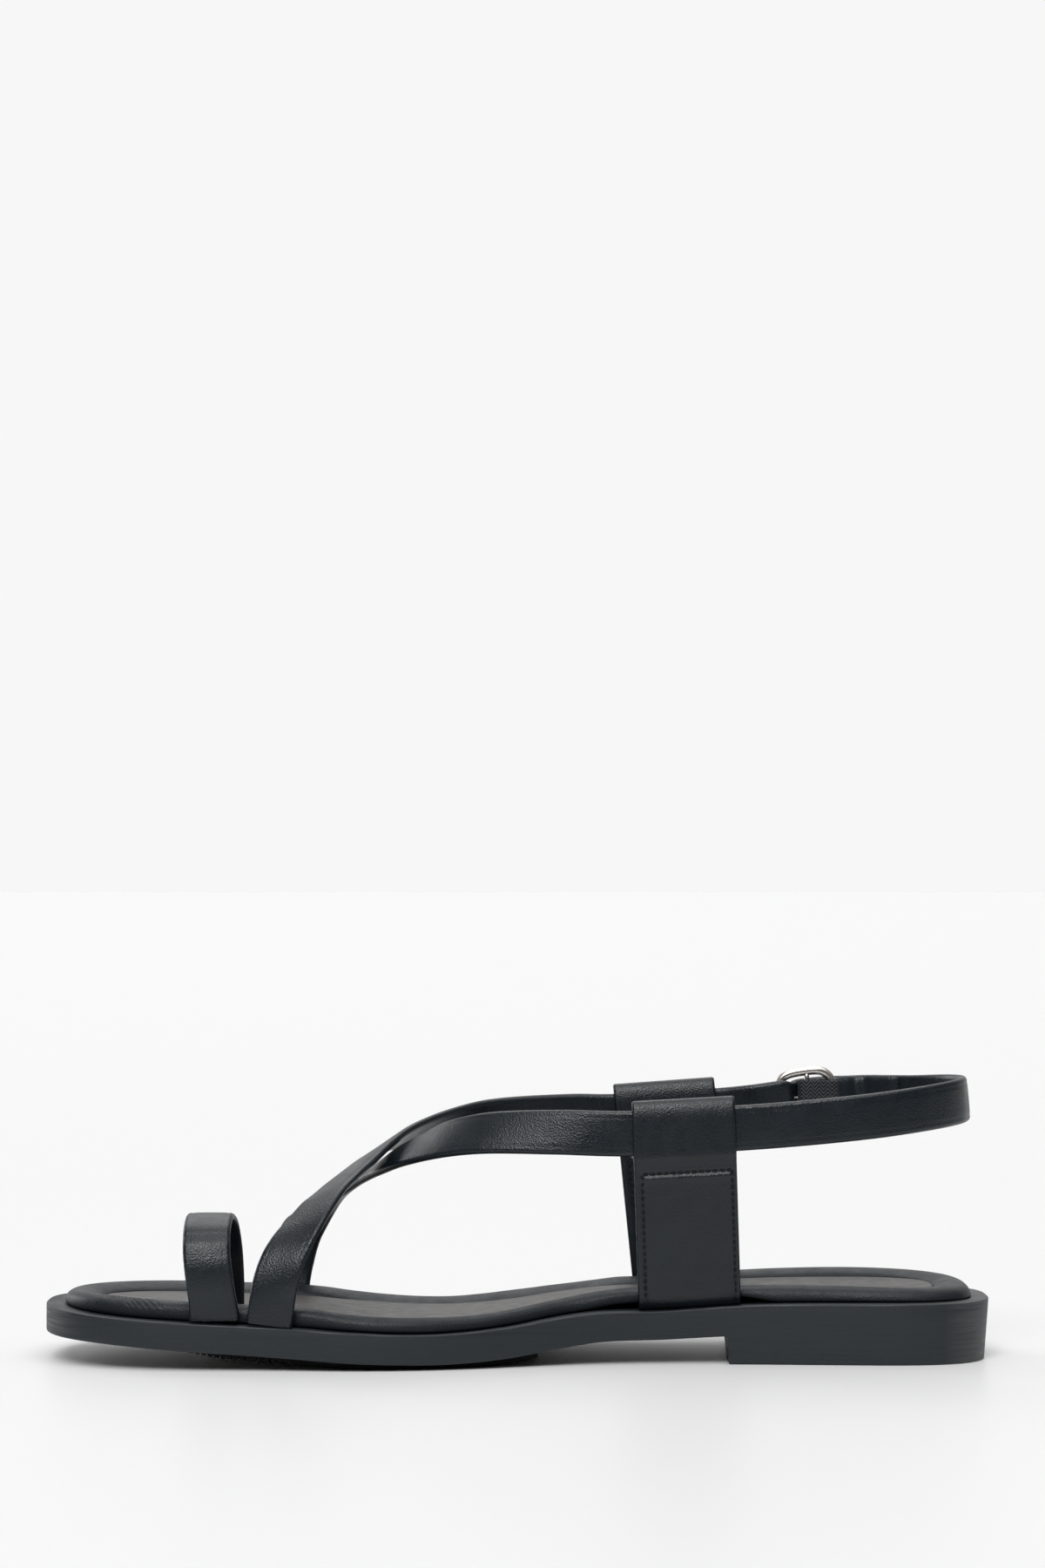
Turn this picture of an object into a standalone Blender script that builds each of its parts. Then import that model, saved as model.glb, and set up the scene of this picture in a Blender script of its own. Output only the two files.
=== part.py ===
"""Toe loop sandal, right shoe: flat moulded sole, padded footbed, crossed straps on two posts.

Toe towards -X, inner (medial) side towards -Y, floor at z = 0.
Tables and sizes are in millimetres; MM turns them into metres.
"""
import math
from collections import namedtuple

import bmesh
import bpy
import numpy as np
from mathutils import Matrix, Vector

MM = 0.001

# Driving sizes of the shoe
LENGTH = 250.8
TOE_X = -126.6
HEEL_X = TOE_X + LENGTH
GAP = 0.3

# Plan of the sole: the ends are superellipse caps on the body's own width
TOE_CAP = 52.0
TOE_ROUND = 2.5
HEEL_CAP = 36.0
HEEL_ROUND = 2.8
CAP_STEPS = 10
BODY_STEPS = 18
TIP_SHARE = 0.04

PlanRow = namedtuple("PlanRow", "along centre half_width")
PLAN = [
    PlanRow(-127.0, -2.0, 41.7),
    PlanRow(-75.0, -0.3, 41.8),
    PlanRow(-45.0, 0.5, 44.0),
    PlanRow(-30.0, 1.1, 43.4),
    PlanRow(-15.0, 2.1, 40.9),
    PlanRow(0.0, 3.2, 37.2),
    PlanRow(15.0, 4.0, 33.8),
    PlanRow(30.0, 3.9, 31.3),
    PlanRow(45.0, 3.2, 30.0),
    PlanRow(60.0, 2.2, 29.6),
    PlanRow(90.0, 0.3, 30.0),
    PlanRow(124.5, -2.0, 30.0),
]

# Side view of the sole: toe spring, ball, arch and seat, above and below
SideRow = namedtuple("SideRow", "along top bottom")
SIDE = [
    SideRow(-127.0, 14.4, 7.5),
    SideRow(-108.0, 13.3, 6.4),
    SideRow(-87.0, 12.3, 4.9),
    SideRow(-72.0, 11.6, 4.0),
    SideRow(-59.0, 10.9, 3.1),
    SideRow(-46.0, 10.0, 2.1),
    SideRow(-30.0, 9.3, 1.5),
    SideRow(-18.0, 9.4, 1.5),
    SideRow(-4.0, 10.5, 2.5),
    SideRow(9.0, 12.5, 4.5),
    SideRow(21.0, 13.8, 6.1),
    SideRow(37.0, 14.1, 6.5),
    SideRow(55.0, 15.4, 7.4),
    SideRow(72.0, 15.9, 7.6),
    SideRow(124.5, 15.8, 7.6),
]

HEEL_BREAST = 54.5
BREAST_DRAFT = 0.5
SIDE_TAPER = 0.07
SOLE_EDGE = 0.6

# Forefoot tread
TREAD_INSET = 5.0
TREAD_THICKNESS = 1.4
TREAD_FRONT = -87.0
TREAD_BACK = 4.0
TREAD_STEPS = 16

# Footbed: a rim that swells from the sole's edge, and a sunk panel inside it
FootbedRow = namedtuple("FootbedRow", "inset rise_fore rise_heel")
FOOTBED = [
    FootbedRow(5.9, GAP, GAP),
    FootbedRow(5.2, 1.3, 1.4),
    FootbedRow(6.1, 2.8, 3.1),
    FootbedRow(8.6, 3.6, 4.4),
    FootbedRow(11.6, 3.3, 4.3),
    FootbedRow(13.6, 1.9, 3.2),
    FootbedRow(15.2, 1.7, 3.0),
    FootbedRow(21.0, 1.7, 2.8),
]
FORE_END = -20.0
SEAT_START = 50.0

# Straps: centre of the band, and where its outer face looks (turn in plan, rise above level)
StrapRow = namedtuple("StrapRow", "along across height turn rise")
STRAP_WIDTH = 12.0
STRAP_THICKNESS = 2.1
STRAP_EDGE = 0.6
STRAP_STEP = 3.6

INNER_TO_OUTER = [
    StrapRow(-65.2, -40.6, 11.8, -90.0, 0.0),
    StrapRow(-64.2, -41.4, 21.0, -92.0, 2.0),
    StrapRow(-61.2, -39.8, 31.0, -100.0, 9.0),
    StrapRow(-57.0, -35.0, 38.0, -115.0, 22.0),
    StrapRow(-52.9, -28.0, 42.9, -130.0, 36.0),
    StrapRow(-48.7, -19.0, 47.1, -145.0, 47.0),
    StrapRow(-44.0, -10.0, 50.8, -160.0, 57.0),
    StrapRow(-39.0, -0.5, 54.2, -176.0, 57.0),
    StrapRow(-33.0, 9.0, 57.1, -200.0, 57.0),
    StrapRow(-23.0, 20.0, 59.4, -232.0, 38.0),
    StrapRow(-9.0, 27.5, 61.0, -252.0, 19.0),
    StrapRow(13.0, 32.3, 61.8, -265.0, 5.0),
    StrapRow(25.0, 33.3, 62.1, -269.0, 0.0),
    StrapRow(40.0, 33.3, 63.0, -270.0, 0.0),
    StrapRow(55.0, 33.2, 63.9, -271.0, 0.0),
    StrapRow(64.0, 31.2, 64.9, -274.0, 0.0),
    StrapRow(70.8, 30.7, 65.8, -250.0, 0.0),
    StrapRow(74.4, 33.9, 66.3, -229.0, 0.0),
    StrapRow(79.0, 37.9, 66.7, -236.0, 0.0),
    StrapRow(86.0, 38.9, 67.3, -275.0, 0.0),
    StrapRow(104.0, 33.6, 68.0, -293.0, 0.0),
]

OUTER_TO_HEEL = [
    StrapRow(-65.6, 40.5, 11.8, 90.0, 0.0),
    StrapRow(-64.3, 41.4, 20.5, 92.0, 2.0),
    StrapRow(-60.6, 39.6, 30.0, 106.0, 9.0),
    StrapRow(-53.7, 32.5, 37.6, 140.0, 26.0),
    StrapRow(-46.4, 21.5, 43.7, 158.0, 42.0),
    StrapRow(-40.8, 10.5, 47.8, 168.0, 52.0),
    StrapRow(-35.4, 0.8, 52.5, 182.0, 43.0),
    StrapRow(-29.0, -8.0, 55.5, 204.0, 48.0),
    StrapRow(-20.3, -16.6, 58.2, 230.0, 46.0),
    StrapRow(-9.0, -23.4, 60.1, 248.0, 37.0),
    StrapRow(9.0, -28.6, 61.0, 262.0, 19.0),
    StrapRow(27.0, -30.2, 60.9, 269.0, 2.0),
    StrapRow(42.0, -30.3, 61.7, 270.0, 0.0),
    StrapRow(57.0, -30.3, 62.6, 271.0, 0.0),
    StrapRow(74.0, -30.2, 63.7, 273.0, 0.0),
    StrapRow(92.0, -28.0, 65.4, 283.0, 0.0),
    StrapRow(106.0, -22.0, 67.1, 304.0, 0.0),
    StrapRow(115.0, -12.0, 68.3, 333.0, 0.0),
    StrapRow(118.0, 0.0, 68.8, 360.0, 0.0),
    StrapRow(115.0, 12.0, 68.8, 387.0, 0.0),
    StrapRow(106.0, 22.5, 68.3, 415.0, 0.0),
    StrapRow(95.0, 28.7, 67.7, 427.0, 0.0),
    StrapRow(88.4, 31.2, 67.3, 431.0, 0.0),
]

TOE_LOOP = [
    StrapRow(-80.1, -38.8, 12.8, -90.0, 0.0),
    StrapRow(-80.2, -39.4, 16.0, -90.0, 0.0),
    StrapRow(-81.0, -40.4, 22.0, -90.0, 4.0),
    StrapRow(-82.0, -39.6, 30.0, -90.0, 20.0),
    StrapRow(-82.2, -34.8, 36.3, -90.0, 55.0),
    StrapRow(-81.6, -27.5, 38.9, -90.0, 90.0),
    StrapRow(-80.6, -19.6, 36.6, -90.0, 125.0),
    StrapRow(-80.0, -15.0, 29.5, -90.0, 162.0),
    StrapRow(-79.6, -13.6, 21.0, -90.0, 178.0),
    StrapRow(-79.6, -13.5, 16.0, -90.0, 180.0),
    StrapRow(-79.6, -13.5, 12.8, -90.0, 180.0),
]
TOE_LEG = TOE_LOOP[-1]

# Posts: a band folded over the strap, doubled and sewn below it
POST_WIDTH = 27.6
POST_WALL = 1.3
POST_SLOPE = 0.06
LOOP_HEIGHT = STRAP_WIDTH + 2.0 * GAP
LOOP_DEPTH = STRAP_THICKNESS + 2.0 * GAP
LOOP_TAPER = 3.0
LOOP_SLACK = 0.9
ARC_STEPS = 6
PostRow = namedtuple("PostRow", "name along base_along base_across base_turn top_across loop_centre")
POSTS = [
    PostRow("medial_post", 42.0, 44.0, -24.0, 0.0, -30.3, 61.7),
    PostRow("lateral_post", 40.0, 44.0, 30.6, -0.11, 33.3, 63.0),
]

# Buckle and elastic
FRAME_FRONT = 70.5
FRAME_BACK = 86.5
FRAME_PLANE = 33.9
FRAME_MIDDLE = 66.6
FRAME_HEIGHT = 16.0
FRAME_WIRE = 1.0
FRAME_CORNER = 5.0
BAR_X = 79.5
BAR_RADIUS = 0.7
ELASTIC_WIDTH = 10.6
ELASTIC_LAYER = 0.7
ELASTIC_SLOT = 3.0
ELASTIC_MERGE = 83.0
ELASTIC_MERGE_Y = 32.1
HEEL_STRAP_END = OUTER_TO_HEEL[-1]
PRONG_RADIUS = 0.6
PRONG_HOLE = 1.1
PRONG_REACH = 1.2


def eased(rows, column, along):
    """Value of a table's column at a place along it, on a smooth curve through the rows."""
    xs = [row[0] for row in rows]
    ys = [getattr(row, column) for row in rows]
    last = len(rows) - 1
    k = min(max(int(np.searchsorted(xs, along)) - 1, 0), last - 1)

    def slope(i):
        low, high = max(i - 1, 0), min(i + 1, last)
        return (ys[high] - ys[low]) / (xs[high] - xs[low])

    span = xs[k + 1] - xs[k]
    t = min(max((along - xs[k]) / span, 0.0), 1.0)
    start, end = slope(k) * span, slope(k + 1) * span
    rise = ys[k + 1] - ys[k]
    return ys[k] + t * (start + t * (3 * rise - 2 * start - end + t * (start + end - 2 * rise)))


def blend(low, high, value):
    """Smooth step from 0 at low to 1 at high."""
    t = min(max((value - low) / (high - low), 0.0), 1.0)
    return t * t * (3.0 - 2.0 * t)


def sole_top(along):
    return eased(SIDE, "top", along)


def sole_bottom(along):
    return eased(SIDE, "bottom", along)


def plan_ring(inset, front=None, back=None, steps=BODY_STEPS):
    """Stations (along, medial edge, lateral edge) of the sole's plan, set in by inset.

    Without front or back the ring runs to the rounded tips; with them it is cut straight there.
    """
    toe_length, heel_length = TOE_CAP - inset, HEEL_CAP - inset
    toe_root, heel_root = TOE_X + TOE_CAP, HEEL_X - HEEL_CAP
    places = []
    turns = [TIP_SHARE + (1.0 - TIP_SHARE) * i / CAP_STEPS for i in range(CAP_STEPS)]
    for share in turns:
        angle = 0.5 * math.pi * share
        reach = math.cos(angle) ** (2.0 / TOE_ROUND)
        places.append((toe_root - toe_length * reach, math.sin(angle) ** (2.0 / TOE_ROUND)))
    for i in range(steps + 1):
        places.append((toe_root + (heel_root - toe_root) * i / steps, 1.0))
    for share in reversed(turns):
        angle = 0.5 * math.pi * share
        reach = math.cos(angle) ** (2.0 / HEEL_ROUND)
        places.append((heel_root + heel_length * reach, math.sin(angle) ** (2.0 / HEEL_ROUND)))
    if front is not None:
        places = [(front + (back - front) * i / steps, 1.0) for i in range(steps + 1)]
    ring = []
    for along, width_share in places:
        centre = eased(PLAN, "centre", along)
        half = (eased(PLAN, "half_width", along) - inset) * width_share
        ring.append((along, centre - half, centre + half))
    return ring


def face_out(bm):
    """Turn every face of a closed skin outwards."""
    bmesh.ops.recalc_face_normals(bm, faces=bm.faces)
    if bm.calc_volume(signed=True) < 0.0:
        bmesh.ops.reverse_faces(bm, faces=bm.faces)


def mesh_object(name, build, collection):
    """New object whose mesh is filled by build(bm)."""
    bm = bmesh.new()
    build(bm)
    face_out(bm)
    mesh = bpy.data.meshes.new(name)
    bm.to_mesh(mesh)
    bm.free()
    part = bpy.data.objects.new(name, mesh)
    collection.objects.link(part)
    return part


def wall(bm, sections):
    """Open skin through closed sections of equal point count; returns their rings of points."""
    rings = [[bm.verts.new(Vector(point) * MM) for point in section] for section in sections]
    count = len(rings[0])
    for ring, following in zip(rings, rings[1:]):
        for i in range(count):
            j = (i + 1) % count
            bm.faces.new((ring[i], ring[j], following[j], following[i]))
    return rings


def loft(bm, sections):
    """Closed skin through sections, with a flat cap on each end."""
    rings = wall(bm, sections)
    bm.faces.new(rings[0])
    bm.faces.new(rings[-1])


def pad(bm, rims):
    """Closed skin through rims that run round the plan, closed across the shoe below and above."""
    rings = wall(bm, rims)
    for ring in (rings[0], rings[-1]):
        for i in range(len(ring) // 2 - 1):
            bm.faces.new((ring[i], ring[i + 1], ring[-2 - i], ring[-1 - i]))


def finish(part, colour, roughness, metallic=0.0):
    """Own Principled material, smooth shading with sharp folds."""
    material = bpy.data.materials.new(part.name + "_finish")
    material.use_nodes = True
    shader = material.node_tree.nodes["Principled BSDF"]
    shader.inputs["Base Color"].default_value = (*colour, 1.0)
    shader.inputs["Roughness"].default_value = roughness
    shader.inputs["Metallic"].default_value = metallic
    part.data.materials.append(material)
    part.data.shade_smooth()
    part.data.set_sharp_from_angle(angle=math.radians(40.0))


def cutter(part):
    """Mark an object as a tool that only shapes others."""
    part.hide_render = True
    part.display_type = "WIRE"


def boolean(part, other, operation):
    modifier = part.modifiers.new(operation.lower() + "_" + other.name, "BOOLEAN")
    modifier.operation = operation
    modifier.object = other
    modifier.solver = "EXACT"


def make_sole(parts):
    """Slab with toe spring and arch, square heel block behind the breast, sides drawn in below."""
    top_outer = plan_ring(0.0)
    top_inner = plan_ring(SOLE_EDGE)
    breast = [i for i, place in enumerate(top_outer) if place[0] < HEEL_BREAST][-1]

    def at_station(ring, along):
        centre = eased(PLAN, "centre", along)
        half = eased(PLAN, "half_width", along)
        inset = ring[breast][2] - top_outer[breast][2]
        return (along, centre - half - inset, centre + half + inset)

    for ring in (top_inner, top_outer):
        before = at_station(ring, HEEL_BREAST)
        after = at_station(ring, HEEL_BREAST + BREAST_DRAFT)
        ring[breast + 1:breast + 1] = [before, after]

    sections = []
    for k, (outer, inner) in enumerate(zip(top_outer, top_inner)):
        top = sole_top(outer[0])
        under = 0.0 if k > breast + 1 else sole_bottom(outer[0])
        draw_in = SIDE_TAPER * (top - under)
        middle_x = min(max(outer[0], TOE_X + TOE_CAP), HEEL_X - HEEL_CAP)
        middle = Vector((middle_x, eased(PLAN, "centre", outer[0])))

        def drawn(side, amount):
            edge = Vector((outer[0], outer[side]))
            return edge + (middle - edge).normalized() * amount

        low_near, low_far = drawn(1, draw_in), drawn(2, draw_in)
        foot_near, foot_far = drawn(1, draw_in + SOLE_EDGE), drawn(2, draw_in + SOLE_EDGE)
        sections.append([
            (inner[0], inner[1], top),
            (outer[0], outer[1], top - SOLE_EDGE),
            (low_near.x, low_near.y, under + SOLE_EDGE),
            (foot_near.x, foot_near.y, under),
            (foot_far.x, foot_far.y, under),
            (low_far.x, low_far.y, under + SOLE_EDGE),
            (outer[0], outer[2], top - SOLE_EDGE),
            (inner[0], inner[2], top),
        ])
    sole = mesh_object("sole", lambda bm: loft(bm, sections), parts)
    finish(sole, (0.035, 0.038, 0.042), 0.65)


def make_tread(parts):
    """Thin rubber pad under the ball: follows the sole, flat where it meets the floor."""
    sections = []
    for along, near, far in plan_ring(TREAD_INSET, TREAD_FRONT, TREAD_BACK, TREAD_STEPS):
        upper = sole_bottom(along) - GAP
        lower = max(0.0, upper - TREAD_THICKNESS)
        sections.append([(along, near, upper), (along, near, lower), (along, far, lower), (along, far, upper)])
    tread = mesh_object("forefoot_tread", lambda bm: loft(bm, sections), parts)
    finish(tread, (0.02, 0.02, 0.02), 0.8)


def footbed_rise(row, along):
    share = blend(FORE_END, SEAT_START, along)
    return row.rise_fore + (row.rise_heel - row.rise_fore) * share


def make_footbed(parts, cutters):
    """Padded insole: swollen rim, sunk panel, and a slit for the toe loop's inner leg."""
    rims = []
    for row in FOOTBED:
        near, far = [], []
        for along, medial, lateral in plan_ring(row.inset):
            height = sole_top(along) + footbed_rise(row, along)
            near.append((along, medial, height))
            far.append((along, lateral, height))
        rims.append(near + far[::-1])
    footbed = mesh_object("footbed", lambda bm: pad(bm, rims), parts)
    slit_size = (STRAP_WIDTH + 4.0 * GAP, STRAP_THICKNESS + 2.0 * GAP, 2.0 * sole_top(TOE_LEG.along))
    bpy.ops.mesh.primitive_cube_add(size=1.0, location=(0.0, 0.0, 0.0))
    slit = bpy.context.object
    slit.name = "toe_leg_slit"
    slit.data.transform(Matrix.Diagonal((*(size * MM for size in slit_size), 1.0)))
    slit.location = Vector((TOE_LEG.along, TOE_LEG.across, sole_top(TOE_LEG.along))) * MM
    move_to(slit, cutters)
    cutter(slit)
    boolean(footbed, slit, "DIFFERENCE")
    finish(footbed, (0.028, 0.029, 0.032), 0.6)


def move_to(part, collection):
    for owner in list(part.users_collection):
        owner.objects.unlink(part)
    collection.objects.link(part)


def outward(row):
    """Direction that the band's outer face looks at a row."""
    turn, rise = math.radians(row.turn), math.radians(row.rise)
    return Vector((math.cos(turn) * math.cos(rise), math.sin(turn) * math.cos(rise), math.sin(rise)))


def band_path(rows):
    """Evenly spaced (centre, outward direction) along a smooth curve through the rows."""
    points = [Vector(row[:3]) for row in rows]
    lengths = [0.0]
    for a, b in zip(points, points[1:]):
        lengths.append(lengths[-1] + (b - a).length)
    Knot = namedtuple("Knot", "at x y z turn rise")
    knots = [Knot(at, *row) for at, row in zip(lengths, rows)]
    count = max(2, round(lengths[-1] / STRAP_STEP))
    path = []
    for i in range(count + 1):
        at = lengths[-1] * i / count
        values = [eased(knots, column, at) for column in ("x", "y", "z", "turn", "rise")]
        path.append((Vector(values[:3]), outward(StrapRow(*values))))
    return path


def band_surface(bm, rows):
    """Open strip of the strap's width along the rows, two faces across."""
    path = band_path(rows)
    previous = None
    for i, (centre, outer) in enumerate(path):
        before, after = path[max(i - 1, 0)][0], path[min(i + 1, len(path) - 1)][0]
        across = (after - before).cross(outer).normalized()
        line = [bm.verts.new((centre + across * (0.5 * STRAP_WIDTH * side)) * MM) for side in (-1, 0, 1)]
        if previous:
            for j in range(2):
                bm.faces.new((previous[j], previous[j + 1], line[j + 1], line[j]))
        previous = line


def make_band(name, rows, collection):
    """Leather band of real thickness with rounded edges."""
    band = mesh_object(name, lambda bm: band_surface(bm, rows), collection)
    shell = band.modifiers.new("thickness", "SOLIDIFY")
    shell.thickness = STRAP_THICKNESS * MM
    shell.offset = 0.0
    shell.use_even_offset = True
    rounding = band.modifiers.new("rolled_edge", "BEVEL")
    rounding.width = STRAP_EDGE * MM
    rounding.segments = 1
    rounding.limit_method = "ANGLE"
    rounding.angle_limit = math.radians(60.0)
    return band


def make_straps(parts, cutters):
    """Both crossing straps as one joined upper, with the hole that the buckle's tongue takes."""
    upper = make_band("strap_upper", INNER_TO_OUTER, parts)
    heel_run = make_band("outer_to_heel", OUTER_TO_HEEL, cutters)
    cutter(heel_run)
    boolean(upper, heel_run, "UNION")
    root, tip = prong_line()
    bpy.ops.mesh.primitive_cylinder_add(vertices=10, radius=PRONG_HOLE * MM, depth=(tip - root).length * MM)
    hole = bpy.context.object
    hole.name = "tongue_hole"
    hole.matrix_world = Matrix.Translation((root + tip) * 0.5 * MM) @ aim(tip - root)
    move_to(hole, cutters)
    cutter(hole)
    boolean(upper, hole, "DIFFERENCE")
    finish(upper, (0.022, 0.023, 0.026), 0.5)


def aim(direction):
    return direction.to_track_quat("Z", "Y").to_matrix().to_4x4()


def make_toe_loop(parts):
    loop = make_band("toe_loop", TOE_LOOP, parts)
    finish(loop, (0.022, 0.023, 0.026), 0.5)


def arc(centre, radius, start, end, steps=ARC_STEPS):
    """Points on an arc; angles in degrees."""
    points = []
    for i in range(steps + 1):
        angle = math.radians(start + (end - start) * i / steps)
        points.append((centre[0] + radius * math.cos(angle), centre[1] + radius * math.sin(angle)))
    return points


def post_throat(height):
    """Height above the base where the doubled band parts round the strap."""
    return height - 0.5 * LOOP_HEIGHT - LOOP_TAPER


def post_outlines(height):
    """Outer outline and strap opening of a post, seen along the shoe: across and up from its base."""
    outer_half = 0.5 * LOOP_DEPTH + POST_WALL
    inner_half = 0.5 * LOOP_DEPTH
    top = 0.5 * LOOP_HEIGHT
    shoulder = height - top
    throat = post_throat(height)
    crown = height + top + LOOP_SLACK - inner_half
    outer = [(-POST_WALL, 0.0), (POST_WALL, 0.0), (POST_WALL, throat), (outer_half, shoulder)]
    outer += arc((0.0, crown), outer_half, 0.0, 180.0)
    outer += [(-outer_half, shoulder), (-POST_WALL, throat)]
    opening = [(-inner_half, shoulder), (inner_half, shoulder)]
    opening += [(inner_half, crown + inner_half), (-inner_half, crown + inner_half)]
    return outer, opening


def make_post(row, parts):
    """Folded band: flat outline with its opening, drawn out along the shoe and leant to its seat."""
    base = sole_top(row.base_along) + GAP
    height = row.loop_centre - base
    curve = bpy.data.curves.new(row.name + "_outline", "CURVE")
    curve.dimensions = "2D"
    curve.fill_mode = "BOTH"
    curve.extrude = 0.5 * POST_WIDTH * MM
    for outline in post_outlines(height):
        spline = curve.splines.new("POLY")
        spline.points.add(len(outline) - 1)
        for point, (across, up) in zip(spline.points, outline):
            point.co = (across * MM, up * MM, 0.0, 1.0)
        spline.use_cyclic_u = True
    flat = bpy.data.objects.new(row.name + "_outline", curve)
    parts.objects.link(flat)
    bpy.context.view_layer.update()
    mesh = bpy.data.meshes.new_from_object(flat.evaluated_get(bpy.context.evaluated_depsgraph_get()))
    bpy.data.objects.remove(flat)

    bm = bmesh.new()
    bm.from_mesh(mesh)
    bmesh.ops.remove_doubles(bm, verts=bm.verts, dist=0.01 * MM)
    for vert in bm.verts:
        across, up, off = vert.co / MM
        share = min(up / post_throat(height), 1.0)
        along = row.base_along + (row.along - row.base_along) * share + off
        seat = row.base_across + row.base_turn * off
        middle = seat + (row.top_across - seat) * share
        vert.co = Vector((along, middle + across, base + up + POST_SLOPE * off)) * MM
    face_out(bm)
    mesh.name = row.name
    bm.to_mesh(mesh)
    bm.free()
    post = bpy.data.objects.new(row.name, mesh)
    parts.objects.link(post)
    finish(post, (0.022, 0.023, 0.026), 0.5)


def tube(name, points, radius, collection, cyclic=False):
    """Round wire through points, as a welded mesh."""
    curve = bpy.data.curves.new(name + "_line", "CURVE")
    curve.dimensions = "3D"
    curve.bevel_depth = radius * MM
    curve.bevel_resolution = 2
    curve.use_fill_caps = True
    spline = curve.splines.new("POLY")
    spline.points.add(len(points) - 1)
    for point, place in zip(spline.points, points):
        point.co = (*(Vector(place) * MM), 1.0)
    spline.use_cyclic_u = cyclic
    line = bpy.data.objects.new(name + "_line", curve)
    collection.objects.link(line)
    bpy.context.view_layer.update()
    mesh = bpy.data.meshes.new_from_object(line.evaluated_get(bpy.context.evaluated_depsgraph_get()))
    bpy.data.objects.remove(line)
    bm = bmesh.new()
    bm.from_mesh(mesh)
    bmesh.ops.remove_doubles(bm, verts=bm.verts, dist=0.01 * MM)
    face_out(bm)
    bm.to_mesh(mesh)
    bm.free()
    mesh.name = name
    wire = bpy.data.objects.new(name, mesh)
    collection.objects.link(wire)
    return wire


def make_buckle(parts, cutters):
    """Round-cornered wire frame with a bar across its middle."""
    half_long = 0.5 * (FRAME_BACK - FRAME_FRONT) - FRAME_CORNER
    half_high = 0.5 * FRAME_HEIGHT - FRAME_CORNER
    middle_x = 0.5 * (FRAME_BACK + FRAME_FRONT)
    ring = []
    for quarter, (sx, sz) in enumerate(((1, 1), (-1, 1), (-1, -1), (1, -1))):
        corner = (middle_x + sx * half_long, FRAME_MIDDLE + sz * half_high)
        ring += arc(corner, FRAME_CORNER, 90.0 * quarter, 90.0 * quarter + 90.0)
    points = [(x, FRAME_PLANE, z) for x, z in ring]
    frame = tube("buckle_frame", points, FRAME_WIRE, parts, cyclic=True)
    reach = 0.5 * FRAME_HEIGHT
    ends = [(BAR_X, FRAME_PLANE, FRAME_MIDDLE - reach), (BAR_X, FRAME_PLANE, FRAME_MIDDLE + reach)]
    bar = tube("buckle_bar", ends, BAR_RADIUS, cutters)
    cutter(bar)
    boolean(frame, bar, "UNION")
    finish(frame, (0.75, 0.73, 0.70), 0.22, 1.0)


def prong_line():
    """Straight run of the tongue from beside the bar to past the frame's front."""
    clear = FRAME_WIRE + 2.0 * GAP + PRONG_RADIUS
    root = Vector((BAR_X, FRAME_PLANE - BAR_RADIUS - GAP - PRONG_RADIUS, FRAME_MIDDLE))
    over_front = Vector((FRAME_FRONT, FRAME_PLANE + clear, FRAME_MIDDLE))
    tip = over_front + (over_front - root).normalized() * PRONG_REACH
    return root, tip


def make_prong(parts):
    """Tongue: hooked round the bar, through the strap, resting on the frame's front."""
    root, tip = prong_line()
    hook = BAR_RADIUS + GAP + PRONG_RADIUS
    points = [(x, y, FRAME_MIDDLE) for x, y in arc((BAR_X, FRAME_PLANE), hook, 90.0, -90.0)]
    points.append(tuple(tip))
    prong = tube("buckle_prong", points, PRONG_RADIUS, parts)
    finish(prong, (0.75, 0.73, 0.70), 0.22, 1.0)


def make_elastic(parts, cutters):
    """Woven band doubled round the bar, slit there for the tongue, ending at the heel strap."""
    inner = BAR_RADIUS + GAP
    outer = inner + ELASTIC_LAYER
    end = Vector((HEEL_STRAP_END.along - GAP, HEEL_STRAP_END.across))
    merge = Vector((ELASTIC_MERGE, ELASTIC_MERGE_Y))
    run = (end - merge).normalized()
    side = Vector((-run.y, run.x))
    bar = (BAR_X, FRAME_PLANE)
    outline = arc(bar, outer, 60.0, 285.0, 2 * ARC_STEPS)
    outline += [tuple(merge - side * ELASTIC_LAYER), tuple(end - side * ELASTIC_LAYER)]
    outline += [tuple(end + side * ELASTIC_LAYER), tuple(merge + side * ELASTIC_LAYER)]
    low = FRAME_MIDDLE - 0.5 * ELASTIC_WIDTH
    sections = [[(x, y, low + lift) for x, y in outline] for lift in (0.0, ELASTIC_WIDTH)]
    elastic = mesh_object("elastic_gusset", lambda bm: loft(bm, sections), parts)
    eye = tube("bar_eye", [(*bar, low - GAP), (*bar, low + ELASTIC_WIDTH + GAP)], inner, cutters)
    cutter(eye)
    boolean(elastic, eye, "DIFFERENCE")
    bpy.ops.mesh.primitive_cube_add(size=1.0, location=Vector((*bar, FRAME_MIDDLE)) * MM)
    slit = bpy.context.object
    slit.name = "tongue_slit"
    reach = 2.0 * (inner + PRONG_RADIUS * 2.0 + GAP)
    slit.data.transform(Matrix.Diagonal((reach * MM, 4.0 * outer * MM, ELASTIC_SLOT * MM, 1.0)))
    move_to(slit, cutters)
    cutter(slit)
    boolean(elastic, slit, "DIFFERENCE")
    finish(elastic, (0.015, 0.015, 0.016), 0.85)


def centre_on_floor(parts, cutters):
    """Carry everything on one empty, so that the origin lies under the middle of the sole."""
    ring = plan_ring(0.0)
    middle_x = 0.5 * (ring[0][0] + ring[-1][0])
    middle_y = 0.5 * (min(place[1] for place in ring) + max(place[2] for place in ring))
    carrier = bpy.data.objects.new("carrier", None)
    bpy.context.scene.collection.objects.link(carrier)
    for piece in [*parts.objects, *cutters.objects]:
        piece.parent = carrier
    carrier.location = (-middle_x * MM, -middle_y * MM, 0.0)


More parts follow.
